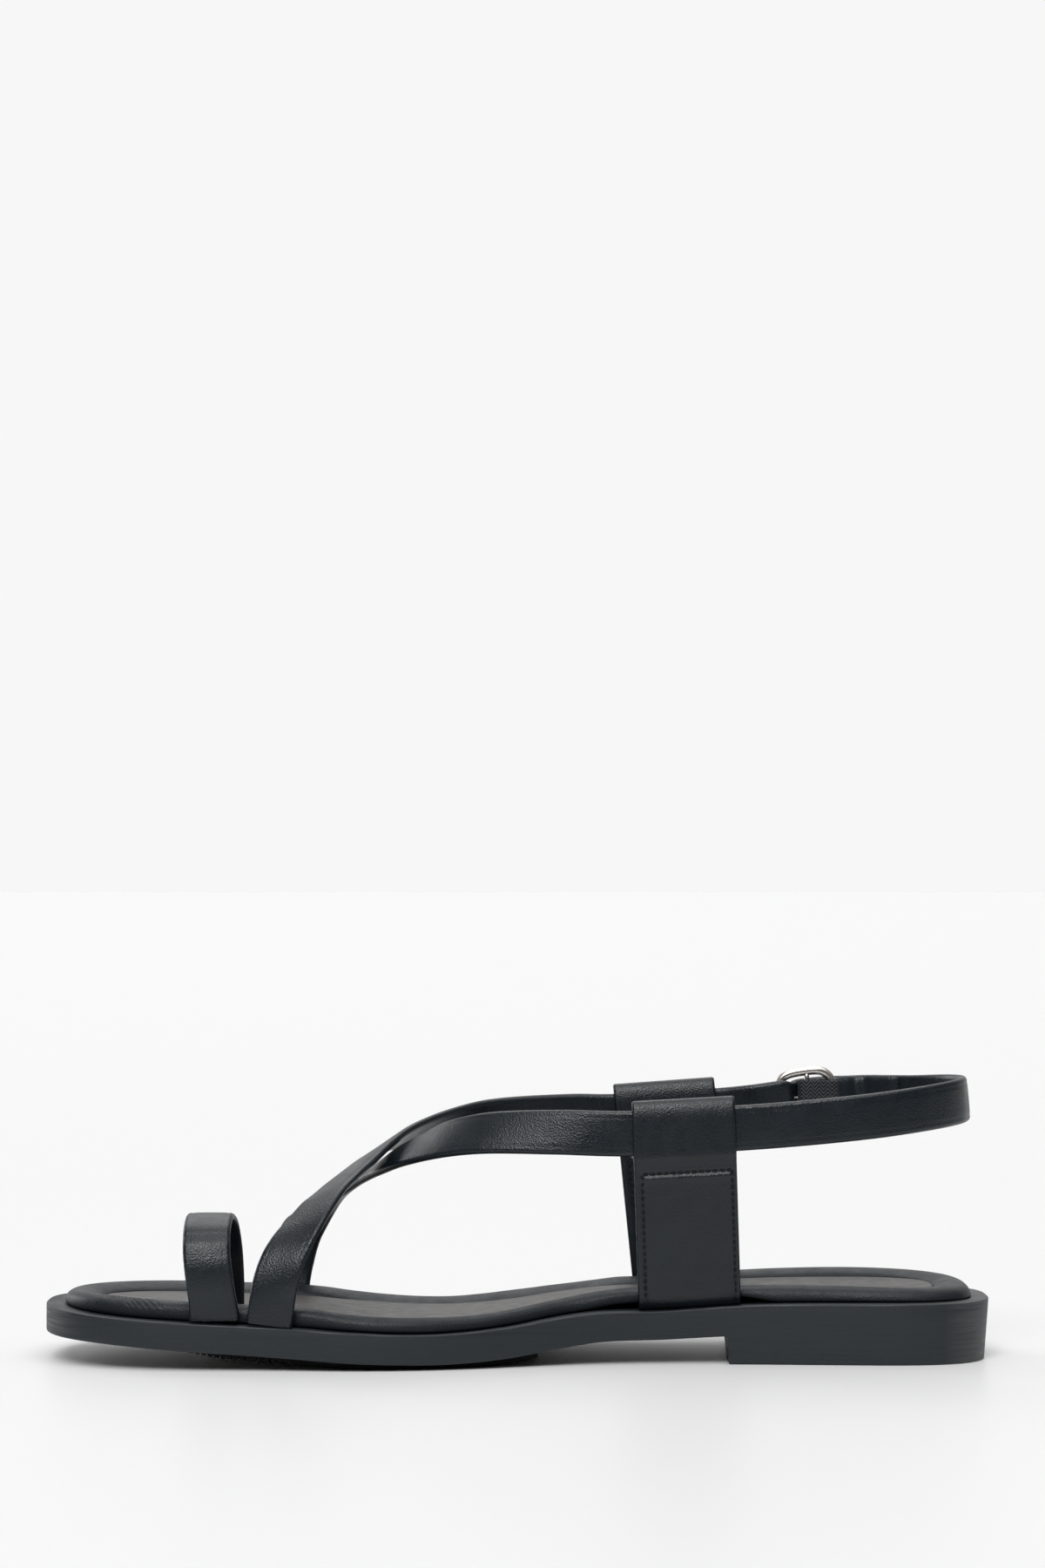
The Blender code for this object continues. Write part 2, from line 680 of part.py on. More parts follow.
def main():
    for old in list(bpy.data.objects):
        bpy.data.objects.remove(old)
    parts = bpy.data.collections.new("toe_loop_sandal")
    cutters = bpy.data.collections.new("cutters")
    bpy.context.scene.collection.children.link(parts)
    bpy.context.scene.collection.children.link(cutters)
    make_sole(parts)
    make_tread(parts)
    make_footbed(parts, cutters)
    make_toe_loop(parts)
    make_straps(parts, cutters)
    for row in POSTS:
        make_post(row, parts)
    make_buckle(parts, cutters)
    make_prong(parts)
    make_elastic(parts, cutters)
    centre_on_floor(parts, cutters)


main()
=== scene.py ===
"""Toe loop sandal dressed for the photograph: leather, rubber, stitches, light and camera."""
import math
from collections import namedtuple

import bmesh
import bpy
import numpy as np
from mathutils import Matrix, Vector


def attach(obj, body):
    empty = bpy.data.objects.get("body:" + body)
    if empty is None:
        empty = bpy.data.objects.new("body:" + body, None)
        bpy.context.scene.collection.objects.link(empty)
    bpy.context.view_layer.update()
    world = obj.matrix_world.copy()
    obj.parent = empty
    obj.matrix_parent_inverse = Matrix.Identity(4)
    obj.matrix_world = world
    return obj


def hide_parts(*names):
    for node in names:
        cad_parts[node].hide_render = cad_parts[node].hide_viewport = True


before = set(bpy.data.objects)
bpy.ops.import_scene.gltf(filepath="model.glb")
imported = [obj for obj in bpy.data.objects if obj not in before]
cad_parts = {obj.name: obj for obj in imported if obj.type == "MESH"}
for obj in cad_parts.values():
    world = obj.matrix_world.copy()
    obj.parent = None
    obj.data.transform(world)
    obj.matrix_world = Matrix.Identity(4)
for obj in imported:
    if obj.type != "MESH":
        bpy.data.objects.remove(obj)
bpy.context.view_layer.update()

MM = 0.001
BODY = "root"
GAP = 0.3

# The tables are drawn in millimetres from the photograph; SHIFT carries them to the part's origin
SHIFT = Vector((1.184, -0.628, 0.0))

# Plan and side view of the sole
TOE_X = -127.4
HEEL_X = 124.7
TOE_CAP = 52.0
TOE_ROUND = 2.5
HEEL_CAP = 36.0
HEEL_ROUND = 2.8
CAP_STEPS = 80
BODY_STEPS = 150
TIP_SHARE = 0.008
LEAST_STEP = 0.3 / CAP_STEPS
PLEAT_START = 0.642
PLEAT_END = 0.882
PLEAT_STEPS = 60

PlanRow = namedtuple("PlanRow", "along centre half_width")
PLAN = [
    PlanRow(-127.0, -2.0, 41.7),
    PlanRow(-75.0, -0.3, 41.8),
    PlanRow(-45.0, 0.5, 44.0),
    PlanRow(-30.0, 1.1, 43.4),
    PlanRow(-15.0, 2.1, 40.9),
    PlanRow(0.0, 3.2, 37.2),
    PlanRow(15.0, 4.0, 33.8),
    PlanRow(30.0, 3.9, 31.3),
    PlanRow(45.0, 3.2, 30.0),
    PlanRow(60.0, 2.2, 29.6),
    PlanRow(90.0, 0.3, 30.0),
    PlanRow(124.5, -2.0, 30.0),
]

SideRow = namedtuple("SideRow", "along top bottom")
SIDE = [
    SideRow(-127.0, 14.9, 7.5),
    SideRow(-108.0, 13.4, 6.4),
    SideRow(-87.0, 12.3, 4.9),
    SideRow(-72.0, 11.6, 4.0),
    SideRow(-59.0, 10.9, 3.1),
    SideRow(-46.0, 10.0, 2.1),
    SideRow(-30.0, 9.3, 1.5),
    SideRow(-18.0, 9.4, 1.5),
    SideRow(-4.0, 10.5, 2.5),
    SideRow(9.0, 12.5, 4.5),
    SideRow(21.0, 13.8, 6.1),
    SideRow(37.0, 14.1, 6.5),
    SideRow(55.0, 15.4, 7.4),
    SideRow(72.0, 15.9, 7.6),
    SideRow(124.5, 16.2, 7.6),
]
BREAST = {-1.0: 54.0, 1.0: 55.8}
BREAST_DRAFT = 0.5
SIDE_TAPER = 0.07
TAPER_START = 0.0
TAPER_END = 60.0
SOLE_SHARP = 50.0
LEATHER_SHARP = 60.0
# Run along the shoe of the painted highlight on the heel's end, in millimetres
HEEL_HIGHLIGHT_START = 112.0
HEEL_HIGHLIGHT_END = 124.0

# The sole's wall from the top face down to the underside
SoleRow = namedtuple("SoleRow", "inset share drop")
SOLE_WALL = [
    SoleRow(16.0, 0.0, 0.0),
    SoleRow(5.0, 0.0, 0.0),
    SoleRow(0.5, 0.0, 0.0),
    SoleRow(0.2, 0.0, 0.05),
    SoleRow(0.05, 0.0, 0.18),
    SoleRow(0.0, 0.0, 0.42),
    SoleRow(0.0, 0.33, 0.15),
    SoleRow(0.0, 0.67, -0.15),
    SoleRow(0.0, 1.0, -0.5),
    SoleRow(0.08, 1.0, -0.2),
    SoleRow(0.3, 1.0, -0.04),
    SoleRow(0.6, 1.0, 0.0),
    SoleRow(5.0, 1.0, 0.0),
    SoleRow(16.0, 1.0, 0.0),
]

# A soft swelling or hollow round one place along a piece
Form = namedtuple("Form", "size along width")

# Footbed rim, pressed line and panel, outside to inside
FootbedRow = namedtuple("FootbedRow", "inset rise_fore rise_heel")
FOOTBED = [
    FootbedRow(5.6, 0.3, 0.3),
    FootbedRow(5.15, 0.5, 0.55),
    FootbedRow(5.0, 1.2, 1.4),
    FootbedRow(5.25, 2.2, 2.6),
    FootbedRow(6.0, 3.1, 3.7),
    FootbedRow(7.3, 3.65, 4.4),
    FootbedRow(9.0, 3.75, 4.6),
    FootbedRow(11.0, 3.4, 4.4),
    FootbedRow(12.9, 2.6, 3.7),
    FootbedRow(14.1, 1.8, 3.0),
    FootbedRow(14.5, 1.2, 2.4),
    FootbedRow(14.9, 1.7, 2.95),
    FootbedRow(17.0, 1.8, 3.0),
    FootbedRow(21.0, 1.75, 2.85),
]
FORE_END = -20.0
SEAT_START = 50.0
PANEL_FROM = 9.9
ROW_STEPS = 4

# The rim's plan and forms; those in pairs run over the profile's rows or along the shoe
RIM_EDGE = (5.0, 10.0)
RIM_SIDE = 0.75
RIM_CREST = 4.6
RIM_CREST_WIDTH = 2.4
WAIST_IN = Form(2.4, 13.0, 14.0)
BALL_OUT = Form(2.3, -32.0, 22.0)
HEEL_OUT = 0.5
HEEL_OUT_RUN = (95.0, 120.0)
LIFT_RISE = (0.0, 3.0)
LIFT_FADE = (8.0, 10.5)
LIFT_LOST = 0.6
POST_LIFT = 1.5
POST_LIFT_START = (14.0, 31.0)
POST_LIFT_END = (57.0, 68.0)
POST_LIFT_FADE = (1.0, 5.0)
RIM_WAVE = Form(0.12, -20.0, 60.0)
WAVE_RATE = 0.21
WAVE_START = 1.0
LOOP_DENT = Form(0.7, -80.0, 6.5)
LOOP_DENT_ACROSS = -13.5
LOOP_DENT_WIDTH = 2.6

# Lift of the rim along the shoe, on its inner and outer side
RimRow = namedtuple("RimRow", "along inner outer")
RIM_LIFT = [
    RimRow(-126.0, 0.0, -1.2),
    RimRow(-115.0, 0.9, -0.3),
    RimRow(-106.0, 1.2, 0.15),
    RimRow(-96.0, 1.2, 0.4),
    RimRow(-80.0, 1.2, 0.55),
    RimRow(-62.0, 1.2, 0.6),
    RimRow(-55.0, 1.1, 0.4),
    RimRow(-48.0, 0.6, -0.15),
    RimRow(-40.0, 0.35, -0.65),
    RimRow(-31.0, 0.2, -0.95),
    RimRow(-20.0, 0.1, -1.0),
    RimRow(-10.0, 0.0, -0.65),
    RimRow(-3.0, 0.0, -0.45),
    RimRow(5.0, 0.0, -0.7),
    RimRow(13.0, 0.2, -0.85),
    RimRow(20.0, 0.6, -0.7),
    RimRow(27.0, 1.0, -0.1),
    RimRow(36.0, 1.0, 0.0),
    RimRow(50.0, 0.2, 0.1),
    RimRow(60.0, 0.0, 0.3),
    RimRow(73.0, -0.2, 0.6),
    RimRow(85.0, -0.5, 0.75),
    RimRow(95.0, -0.8, 0.6),
    RimRow(106.0, -1.1, 0.2),
    RimRow(114.0, -1.2, -0.3),
    RimRow(120.0, -1.3, -0.9),
]

# Pleats of the inner toe rim: place along it and depth
PLEAT_WIDTH = 0.36
PLEATS = [(-104.9, 0.3), (-103.2, 0.5), (-101.8, 0.4), (-100.1, 0.65), (-98.7, 0.5), (-97.0, 0.7),
          (-95.2, 0.55), (-93.1, 0.6), (-91.4, 0.35)]

StrapRow = namedtuple("StrapRow", "along across height turn rise")
STRAP_WIDTH = 12.0
STRAP_THICKNESS = 2.1
BAND_STEP = 0.8
TIP_LENGTH = 7.0
TIP_POWER = 2.2
TIP_LEAST = 0.25
BUCKLED_END = 34.0
BUCKLED_EASE = 3.0
BUCKLED_SLIM = 0.13
FOLDED_END = 17.0
FOLDED_EASE = 3.0
FOLDED_LAYER = 0.7
FOLDED_ROLL = Form(0.8, 4.6, 1.1)
FOLDED_NECK = Form(0.5, 7.2, 0.9)
FOLDED_SEAM = Form(0.5, FOLDED_END, 0.5)
FOLDED_EDGE = 0.6

INNER_TO_OUTER = [
    StrapRow(-65.8, -40.6, 11.8, -90.0, 0.0),
    StrapRow(-64.9, -41.4, 19.0, -93.0, 1.0),
    StrapRow(-63.6, -41.3, 25.0, -102.0, 5.0),
    StrapRow(-61.2, -39.6, 30.9, -111.0, 10.0),
    StrapRow(-57.0, -35.0, 37.6, -123.0, 21.0),
    StrapRow(-52.8, -28.0, 43.25, -130.0, 32.0),
    StrapRow(-48.6, -19.0, 47.0, -140.0, 42.0),
    StrapRow(-44.2, -10.0, 50.3, -155.0, 52.0),
    StrapRow(-39.2, -0.5, 54.1, -174.0, 55.0),
    StrapRow(-33.0, 9.0, 57.5, -199.0, 55.0),
    StrapRow(-23.0, 20.0, 59.4, -232.0, 38.0),
    StrapRow(-9.0, 27.5, 61.4, -252.0, 19.0),
    StrapRow(13.0, 32.3, 62.3, -265.0, 5.0),
    StrapRow(25.0, 33.3, 62.2, -269.0, 0.0),
    StrapRow(40.0, 33.3, 63.0, -270.0, 0.0),
    StrapRow(55.0, 33.2, 63.9, -271.0, 0.0),
    StrapRow(64.0, 31.2, 64.9, -274.0, 0.0),
    StrapRow(70.2, 30.6, 65.8, -266.0, 0.0),
    StrapRow(73.4, 31.5, 66.2, -228.0, 0.0),
    StrapRow(74.8, 33.9, 66.4, -197.0, 0.0),
    StrapRow(75.7, 36.6, 66.7, -206.0, 0.0),
    StrapRow(78.6, 38.9, 67.1, -247.0, 0.0),
    StrapRow(86.0, 39.3, 67.7, -277.0, 0.0),
    StrapRow(104.0, 33.6, 68.0, -293.0, 0.0),
]

OUTER_TO_HEEL = [
    StrapRow(-65.6, 40.5, 11.8, 90.0, 0.0),
    StrapRow(-64.3, 41.4, 20.5, 92.0, 2.0),
    StrapRow(-61.3, 39.6, 30.0, 106.0, 9.0),
    StrapRow(-54.6, 32.5, 37.6, 140.0, 26.0),
    StrapRow(-46.4, 21.5, 43.7, 158.0, 42.0),
    StrapRow(-40.8, 10.5, 48.3, 168.0, 47.0),
    StrapRow(-35.4, 0.8, 52.0, 182.0, 46.0),
    StrapRow(-29.0, -8.0, 55.3, 204.0, 48.0),
    StrapRow(-20.3, -16.6, 58.7, 230.0, 38.0),
    StrapRow(-9.0, -23.4, 60.7, 248.0, 29.0),
    StrapRow(9.0, -28.6, 61.2, 262.0, 15.0),
    StrapRow(27.0, -30.2, 60.9, 269.0, 2.0),
    StrapRow(42.0, -30.3, 61.7, 270.0, 0.0),
    StrapRow(57.0, -30.3, 62.4, 271.0, 0.0),
    StrapRow(74.0, -30.2, 63.7, 273.0, 0.0),
    StrapRow(92.0, -28.0, 65.4, 283.0, 0.0),
    StrapRow(106.5, -22.0, 67.1, 304.0, 2.0),
    StrapRow(116.0, -12.0, 68.3, 333.0, 4.0),
    StrapRow(119.0, 0.0, 68.8, 360.0, 5.0),
    StrapRow(116.0, 12.0, 68.6, 387.0, 4.0),
    StrapRow(106.5, 22.5, 67.9, 415.0, 2.0),
    StrapRow(95.0, 28.7, 67.7, 427.0, 0.0),
    StrapRow(88.4, 31.2, 67.3, 431.0, 0.0),
]

TOE_LOOP = [
    StrapRow(-80.3, -38.8, 12.8, -90.0, 0.0),
    StrapRow(-80.4, -39.4, 16.0, -90.0, 0.0),
    StrapRow(-81.2, -40.4, 22.0, -90.0, 2.0),
    StrapRow(-81.8, -40.4, 26.5, -90.0, 6.0),
    StrapRow(-82.2, -39.5, 30.0, -90.0, 20.0),
    StrapRow(-82.4, -37.6, 33.8, -90.0, 36.0),
    StrapRow(-82.4, -34.2, 36.7, -90.0, 55.0),
    StrapRow(-82.1, -27.5, 38.9, -90.0, 90.0),
    StrapRow(-81.4, -19.6, 36.6, -90.0, 125.0),
    StrapRow(-80.6, -15.0, 29.5, -90.0, 162.0),
    StrapRow(-80.2, -13.6, 21.0, -90.0, 178.0),
    StrapRow(-80.2, -13.5, 16.0, -90.0, 180.0),
    StrapRow(-80.2, -13.5, 12.8, -90.0, 180.0),
]
LOOP_WIDTH = 12.4
LOOP_CREASE = 22.4
CREASE_RIDGE = Form(0.12, LOOP_CREASE - 2.6, 1.6)
CREASE_FOLD = Form(0.3, LOOP_CREASE, 0.9)
LOOP_FLARE = 0.07
LOOP_FLARE_END = 7.0

POST_WALL = 1.3
LOOP_HEIGHT = STRAP_WIDTH + 2.0 * GAP
LOOP_DEPTH = STRAP_THICKNESS + 2.0 * GAP
LOOP_TAPER = 3.0
FOLD_RISE = 5.5
POST_CURL = 1.3
POST_CURL_HEIGHT = 4.5
POST_STEPS = 84
THROAT_STEPS = 6
WALL_STEPS = 8
FOLD_STEPS = 24
POST_FACES = 64
SHEET_GAP = 0.02

# The post's sewn box, and the forms under its level row
SEAM_FRONT = -11.4
SEAM_BACK = 12.3
SEAM_DROP = 1.6
SEAM_FOOT = 3.0
SEAM_WIDTH = 0.45
SEAM_DEPTH = 0.4
SEAM_IN = 0.2
SEAM_OUT = 0.6
SEAM_END = 0.8
SEAM_RIDGE = Form(0.42, 1.4, 0.75)
SEAM_BELLY = Form(0.08, 16.0, 11.0)
LEVEL_STEPS = 12
DOWN_STEPS = 16

PostRow = namedtuple(
    "PostRow",
    "name width slack along base_along base_across base_turn top_across loop_centre slope",
)
POSTS = [
    PostRow("medial_post", 27.0, 0.9, 42.4, 44.1, -24.0, 0.0, -30.3, 61.7, 0.055),
    PostRow("lateral_post", 28.0, 1.3, 39.9, 44.7, 30.6, -0.11, 33.3, 63.0, 0.072),
]

# Buckle and elastic
FRAME_CENTRE = (78.8, 66.9)
FRAME_STEPS = 64
FRAME_LONG = 7.7
FRAME_HALF = 7.5
FRAME_TILT = 8.0
FRAME_SQUARE = 3.4
FRAME_PLANE = 33.9
FRAME_WIRE = 0.9
FRAME_WIDE = 1.33
BAR_X = 78.8
BAR_RADIUS = 0.7
BAR_STEPS = 8
ELASTIC_WIDTH = 10.2
ELASTIC_MIDDLE = 66.9
ELASTIC_LAYER = 0.7
ELASTIC_MERGE = Vector((82.0, 32.1))
ELASTIC_CLEAR = 0.05
ELASTIC_STEPS = 6
WRAP_START = 60.0
WRAP_END = 285.0
WRAP_STEPS = 20
PRONG_RADIUS = 0.55
PRONG_HEIGHT = 67.0
PRONG_HOOK = 1.3
PRONG_REACH = 1.2
PRONG_STEPS = 8
HOOK_STEPS = 12

# Tread under the ball
TREAD_INSET = 5.0
TREAD_THICKNESS = 1.7
TREAD_TIP = 0.6
TREAD_TAPER = 10.0
TREAD_FRONT = -87.0
TREAD_BACK = 4.0
TOOTH_PITCH = 1.65
TOOTH_DEPTH = 0.8
TEETH_END = -58.0
TEETH_FADE = 10.0
TOOTH_PROFILE = [(0.0, 0.0), (0.6, 0.0), (0.7, 1.0), (0.9, 1.0)]
TREAD_SEAT = 0.05
TREAD_LEAST = 0.1
TREAD_EASE = 0.3
TREAD_SHARP = 30.0

# Stitches: swell of a thread from end to end
STITCH_PITCH = 1.85
STITCH_LENGTH = 1.35
STITCH_RADIUS = 0.24
STITCH_SIDES = 6
STITCH_SWELL = [(0.0, 0.35), (0.15, 0.85), (0.5, 1.0), (0.85, 0.85), (1.0, 0.35)]
STITCH_ARCH = 0.14
STITCH_SINK = 0.02
STITCH_SEAT = 0.18
HEEL_SEAM = 9.2
HEEL_SEAM_LIFT = 0.1
HEEL_SEAM_STEPS = 6

# Leather grain, and the part of a noise's range that is used
GRAIN = 0.00042
GRAIN_DEPTH = 0.17
NOISE_LOW = 0.3
NOISE_HIGH = 0.7
EVEN = (1.0, 1.0, 1.0)

# Picture: camera in the tables' frame, and light
LENS = 100.0
SENSOR = 36.0
CAMERA_BACK = 1175.0
CAMERA_UP = 129.0
CAMERA_PITCH = 103.6 / 5000.0
BACKDROP = 0.93
FLOOR_SIZE = 60.0
FLOOR_FRONT = 0.42
AIR_ROUND = 0.12
AIR_BACK = 0.79
AIR_BACK_RUN = (0.5, 0.97)
AIR_TOP = 0.5
AIR_TOP_RUN = (0.3, 0.85)

# Suns: azimuth from +X towards +Y, height above the floor and breadth, in degrees
SunRow = namedtuple("SunRow", "name azimuth height angle strength lit")
SUNS = [
    SunRow("key_front", -103.0, 42.0, 26.0, 1.5, True),
    SunRow("front_high", -70.0, 68.0, 50.0, 0.9, True),
    SunRow("sheen_back", 95.0, 58.0, 46.0, 1.0, False),
    SunRow("side_toe", 140.0, 18.0, 30.0, 0.7, True),
]


def eased(rows, column, along):
    """Value of a table's column at a place along it, on a smooth curve through the rows."""
    xs = [row[0] for row in rows]
    ys = [getattr(row, column) for row in rows]
    last = len(rows) - 1
    k = min(max(int(np.searchsorted(xs, along)) - 1, 0), last - 1)

    def slope(i):
        low, high = max(i - 1, 0), min(i + 1, last)
        return (ys[high] - ys[low]) / (xs[high] - xs[low])

    span = xs[k + 1] - xs[k]
    t = min(max((along - xs[k]) / span, 0.0), 1.0)
    start, end = slope(k) * span, slope(k + 1) * span
    rise = ys[k + 1] - ys[k]
    return ys[k] + t * (start + t * (3 * rise - 2 * start - end + t * (start + end - 2 * rise)))


def blend(low, high, value):
    """Smooth step from 0 at low to 1 at high."""
    t = min(max((value - low) / (high - low), 0.0), 1.0)
    return t * t * (3.0 - 2.0 * t)


def bell(value, centre, width):
    """Bump of height 1 round a centre."""
    return math.exp(-(((value - centre) / width) ** 2))


def form_at(form, along):
    return form.size * bell(along, form.along, form.width)


def sole_top(along):
    return eased(SIDE, "top", along)


def sole_bottom(along):
    return eased(SIDE, "bottom", along)


def sole_under(along, side):
    return 0.0 if along > BREAST[side] + 0.5 * BREAST_DRAFT else sole_bottom(along)


def merged(values, least):
    """Values in order, without those nearer than least to the one before."""
    kept = []
    for value in sorted(values):
        if not kept or value - kept[-1] >= least:
            kept.append(value)
    return kept


def plan_places():
    """Stations of the plan from toe to heel: (root, reach share, cap length share, width share)."""
    toe_root, heel_root = TOE_X + TOE_CAP, HEEL_X - HEEL_CAP
    turns = [TIP_SHARE + (1.0 - TIP_SHARE) * i / CAP_STEPS for i in range(CAP_STEPS)]
    pleated = [PLEAT_START + (PLEAT_END - PLEAT_START) * i / PLEAT_STEPS
               for i in range(PLEAT_STEPS)]
    places = []
    for share in merged(turns + pleated, LEAST_STEP):
        angle = 0.5 * math.pi * share
        places.append((toe_root, -(math.cos(angle) ** (2.0 / TOE_ROUND)), TOE_CAP,
                       math.sin(angle) ** (2.0 / TOE_ROUND)))
    body = [toe_root + (heel_root - toe_root) * i / BODY_STEPS for i in range(BODY_STEPS + 1)]
    for breast in BREAST.values():
        body += [breast, breast + BREAST_DRAFT]
    places += [(along, 0.0, 0.0, 1.0) for along in sorted(body)]
    for share in reversed(turns):
        angle = 0.5 * math.pi * share
        places.append((heel_root, math.cos(angle) ** (2.0 / HEEL_ROUND), HEEL_CAP,
                       math.sin(angle) ** (2.0 / HEEL_ROUND)))
    return places


PLACES = plan_places()


def plan_loop(inset_at):
    """Closed loop round the plan: medial side (-1) toe to heel, lateral side (1) back.

    inset_at(along, side) is how far the loop lies inside the plan's edge.
    """
    lines = {-1.0: [], 1.0: []}
    for root, reach, cap, width in PLACES:
        for side, line in lines.items():
            inset = inset_at(root + reach * cap, side)
            along = root + reach * (cap - inset)
            half = (eased(PLAN, "half_width", along) - inset) * width
            line.append((along, eased(PLAN, "centre", along) + side * half))
    return lines[-1.0] + lines[1.0][::-1]


def piece(name, points, faces, materials, slots=None, uvs=None):
    """New mesh object from points in the tables' millimetres."""
    mesh = bpy.data.meshes.new(name)
    mesh.from_pydata([(Vector(p) + SHIFT) * MM for p in points], [], faces)
    for material in materials:
        mesh.materials.append(material)
    if slots is not None:
        mesh.polygons.foreach_set("material_index", slots)
    if uvs is not None:
        layer = mesh.uv_layers.new(name="UVMap")
        corners = np.empty(len(mesh.loops), dtype=np.int32)
        mesh.loops.foreach_get("vertex_index", corners)
        layer.data.foreach_set("uv", np.asarray(uvs, dtype=np.float32)[corners].ravel())
    mesh.shade_smooth()
    bm = bmesh.new()
    bm.from_mesh(mesh)
    bmesh.ops.recalc_face_normals(bm, faces=bm.faces)
    bm.to_mesh(mesh)
    bm.free()
    made = bpy.data.objects.new(name, mesh)
    bpy.context.scene.collection.objects.link(made)
    return made


def wall_faces(rings, count, start=0):
    """Quads between rings of count points each, closed round each ring."""
    faces = []
    for k in range(rings - 1):
        for i in range(count):
            j = (i + 1) % count
            a, b = start + k * count, start + (k + 1) * count
            faces.append((a + i, a + j, b + j, b + i))
    return faces


def across_faces(count, start):
    """Quads that close a plan loop from side to side."""
    return [(start + i, start + i + 1, start + count - 2 - i, start + count - 1 - i)
            for i in range(count // 2 - 1)]


def put(made, slot, *nodes):
    """Ride with the shoe and stand for CAD nodes; slot is not used."""
    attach(made, BODY)
    if nodes:
        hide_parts(*nodes)


# Materials


def shader_of(made):
    return made.node_tree.nodes["Principled BSDF"]


def material(name, colour, roughness, metallic=0.0, specular=0.5):
    made = bpy.data.materials.new(name)
    made.use_nodes = True
    shader = shader_of(made)
    shader.inputs["Base Color"].default_value = (*colour, 1.0)
    shader.inputs["Roughness"].default_value = roughness
    shader.inputs["Metallic"].default_value = metallic
    shader.inputs["Specular IOR Level"].default_value = specular
    return made


def node(made, kind, **values):
    created = made.node_tree.nodes.new(kind)
    for key, value in values.items():
        if key in created.inputs:
            created.inputs[key].default_value = value
        else:
            setattr(created, key, value)
    return created


def link(made, output, target):
    made.node_tree.links.new(output, target)


def stretched(made, scale):
    """Texture place in metres, stretched by scale."""
    place = node(made, "ShaderNodeTexCoord")
    mapping = node(made, "ShaderNodeMapping")
    mapping.inputs["Scale"].default_value = scale
    link(made, place.outputs["Object"], mapping.inputs["Vector"])
    return mapping.outputs["Vector"]


def noise(made, scale, detail, stretch=EVEN):
    texture = node(made, "ShaderNodeTexNoise", Scale=scale, Detail=detail, Roughness=0.55)
    link(made, stretched(made, stretch), texture.inputs["Vector"])
    return texture.outputs["Fac"]


def cells(made, scale):
    texture = node(made, "ShaderNodeTexVoronoi", Scale=scale, feature="SMOOTH_F1")
    texture.inputs["Smoothness"].default_value = 0.4
    link(made, stretched(made, EVEN), texture.inputs["Vector"])
    return texture.outputs["Distance"]


def spread(made, value, low, high, from_low=NOISE_LOW, from_high=NOISE_HIGH):
    """Value taken from its range to another."""
    mapped = node(made, "ShaderNodeMapRange")
    mapped.inputs["From Min"].default_value = from_low
    mapped.inputs["From Max"].default_value = from_high
    mapped.inputs["To Min"].default_value = low
    mapped.inputs["To Max"].default_value = high
    link(made, value, mapped.inputs["Value"])
    return mapped.outputs["Result"]


def tint(made, value, dark, light):
    """Base colour between two tints by a value."""
    ramp = node(made, "ShaderNodeValToRGB")
    ramp.color_ramp.elements[0].position = NOISE_LOW
    ramp.color_ramp.elements[1].position = NOISE_HIGH
    ramp.color_ramp.elements[0].color = (*dark, 1.0)
    ramp.color_ramp.elements[1].color = (*light, 1.0)
    link(made, value, ramp.inputs["Fac"])
    link(made, ramp.outputs["Color"], shader_of(made).inputs["Base Color"])


def painted_heel_highlight(made, streaks, highlight_colour):
    """Painted highlight: pale streaks laid over the base colour on the heel's end, standing in for
    the light that falls there.
    """
    shader = shader_of(made)
    under = shader.inputs["Base Color"].links[0].from_socket
    parts = node(made, "ShaderNodeSeparateXYZ")
    link(made, stretched(made, EVEN), parts.inputs["Vector"])
    # Share of the painted highlight: the heel's end, broken into streaks
    weight = node(made, "ShaderNodeMath", operation="MULTIPLY")
    heel_end = spread(made, parts.outputs["X"], 0.0, 1.0, HEEL_HIGHLIGHT_START * MM, HEEL_HIGHLIGHT_END * MM)
    link(made, heel_end, weight.inputs[0])
    link(made, spread(made, streaks, 0.1, 1.0, 0.35, 0.65), weight.inputs[1])
    over = node(made, "ShaderNodeMix", data_type="RGBA")
    link(made, weight.outputs["Value"], over.inputs["Factor"])
    link(made, under, over.inputs["A"])
    over.inputs["B"].default_value = (*highlight_colour, 1.0)
    link(made, over.outputs["Result"], shader.inputs["Base Color"])


def rough(made, value, low, high):
    link(made, spread(made, value, low, high), shader_of(made).inputs["Roughness"])


def bump(made, layers):
    """Stack of bumps: (height, depth in metres)."""
    normal = None
    for height, depth in layers:
        step = node(made, "ShaderNodeBump", Strength=1.0, Distance=depth)
        link(made, height, step.inputs["Height"])
        if normal is not None:
            link(made, normal, step.inputs["Normal"])
        normal = step.outputs["Normal"]
    link(made, normal, shader_of(made).inputs["Normal"])


def leather(name, dark, light, smooth, dull, specular):
    """Fine-grained leather: pebbled cells, soft waves and uneven gloss."""
    made = material(name, light, dull, specular=specular)
    tint(made, noise(made, 90.0, 4.0), dark, light)
    rough(made, noise(made, 260.0, 3.0), smooth, dull)
    bump(made, [
        (noise(made, 60.0, 2.0), 0.00015),
        (cells(made, 1.0 / GRAIN), GRAIN * GRAIN_DEPTH),
        (noise(made, 3500.0, 2.0), 0.00002),
    ])
    return made


strap_leather = leather(
    "strap_leather", (0.0013, 0.0046, 0.0082), (0.0034, 0.008, 0.0127), 0.29, 0.39, 0.45)
post_leather = leather(
    "post_leather", (0.001, 0.0038, 0.0072), (0.0026, 0.0068, 0.0112), 0.3, 0.4, 0.45)
rim_leather = leather(
    "rim_leather", (0.007, 0.01, 0.0135), (0.0105, 0.014, 0.0185), 0.4, 0.52, 0.3)


def panel_finish():
    """Matt leather of the sunk panel, slightly brown."""
    made = material("panel_leather", (0.045, 0.042, 0.04), 0.52, specular=0.5)
    tint(made, noise(made, 140.0, 5.0), (0.055, 0.052, 0.05), (0.08, 0.075, 0.071))
    rough(made, noise(made, 300.0, 3.0), 0.44, 0.58)
    bump(made, [(noise(made, 1800.0, 3.0), 0.00003), (noise(made, 120.0, 2.0), 0.0001)])
    return made


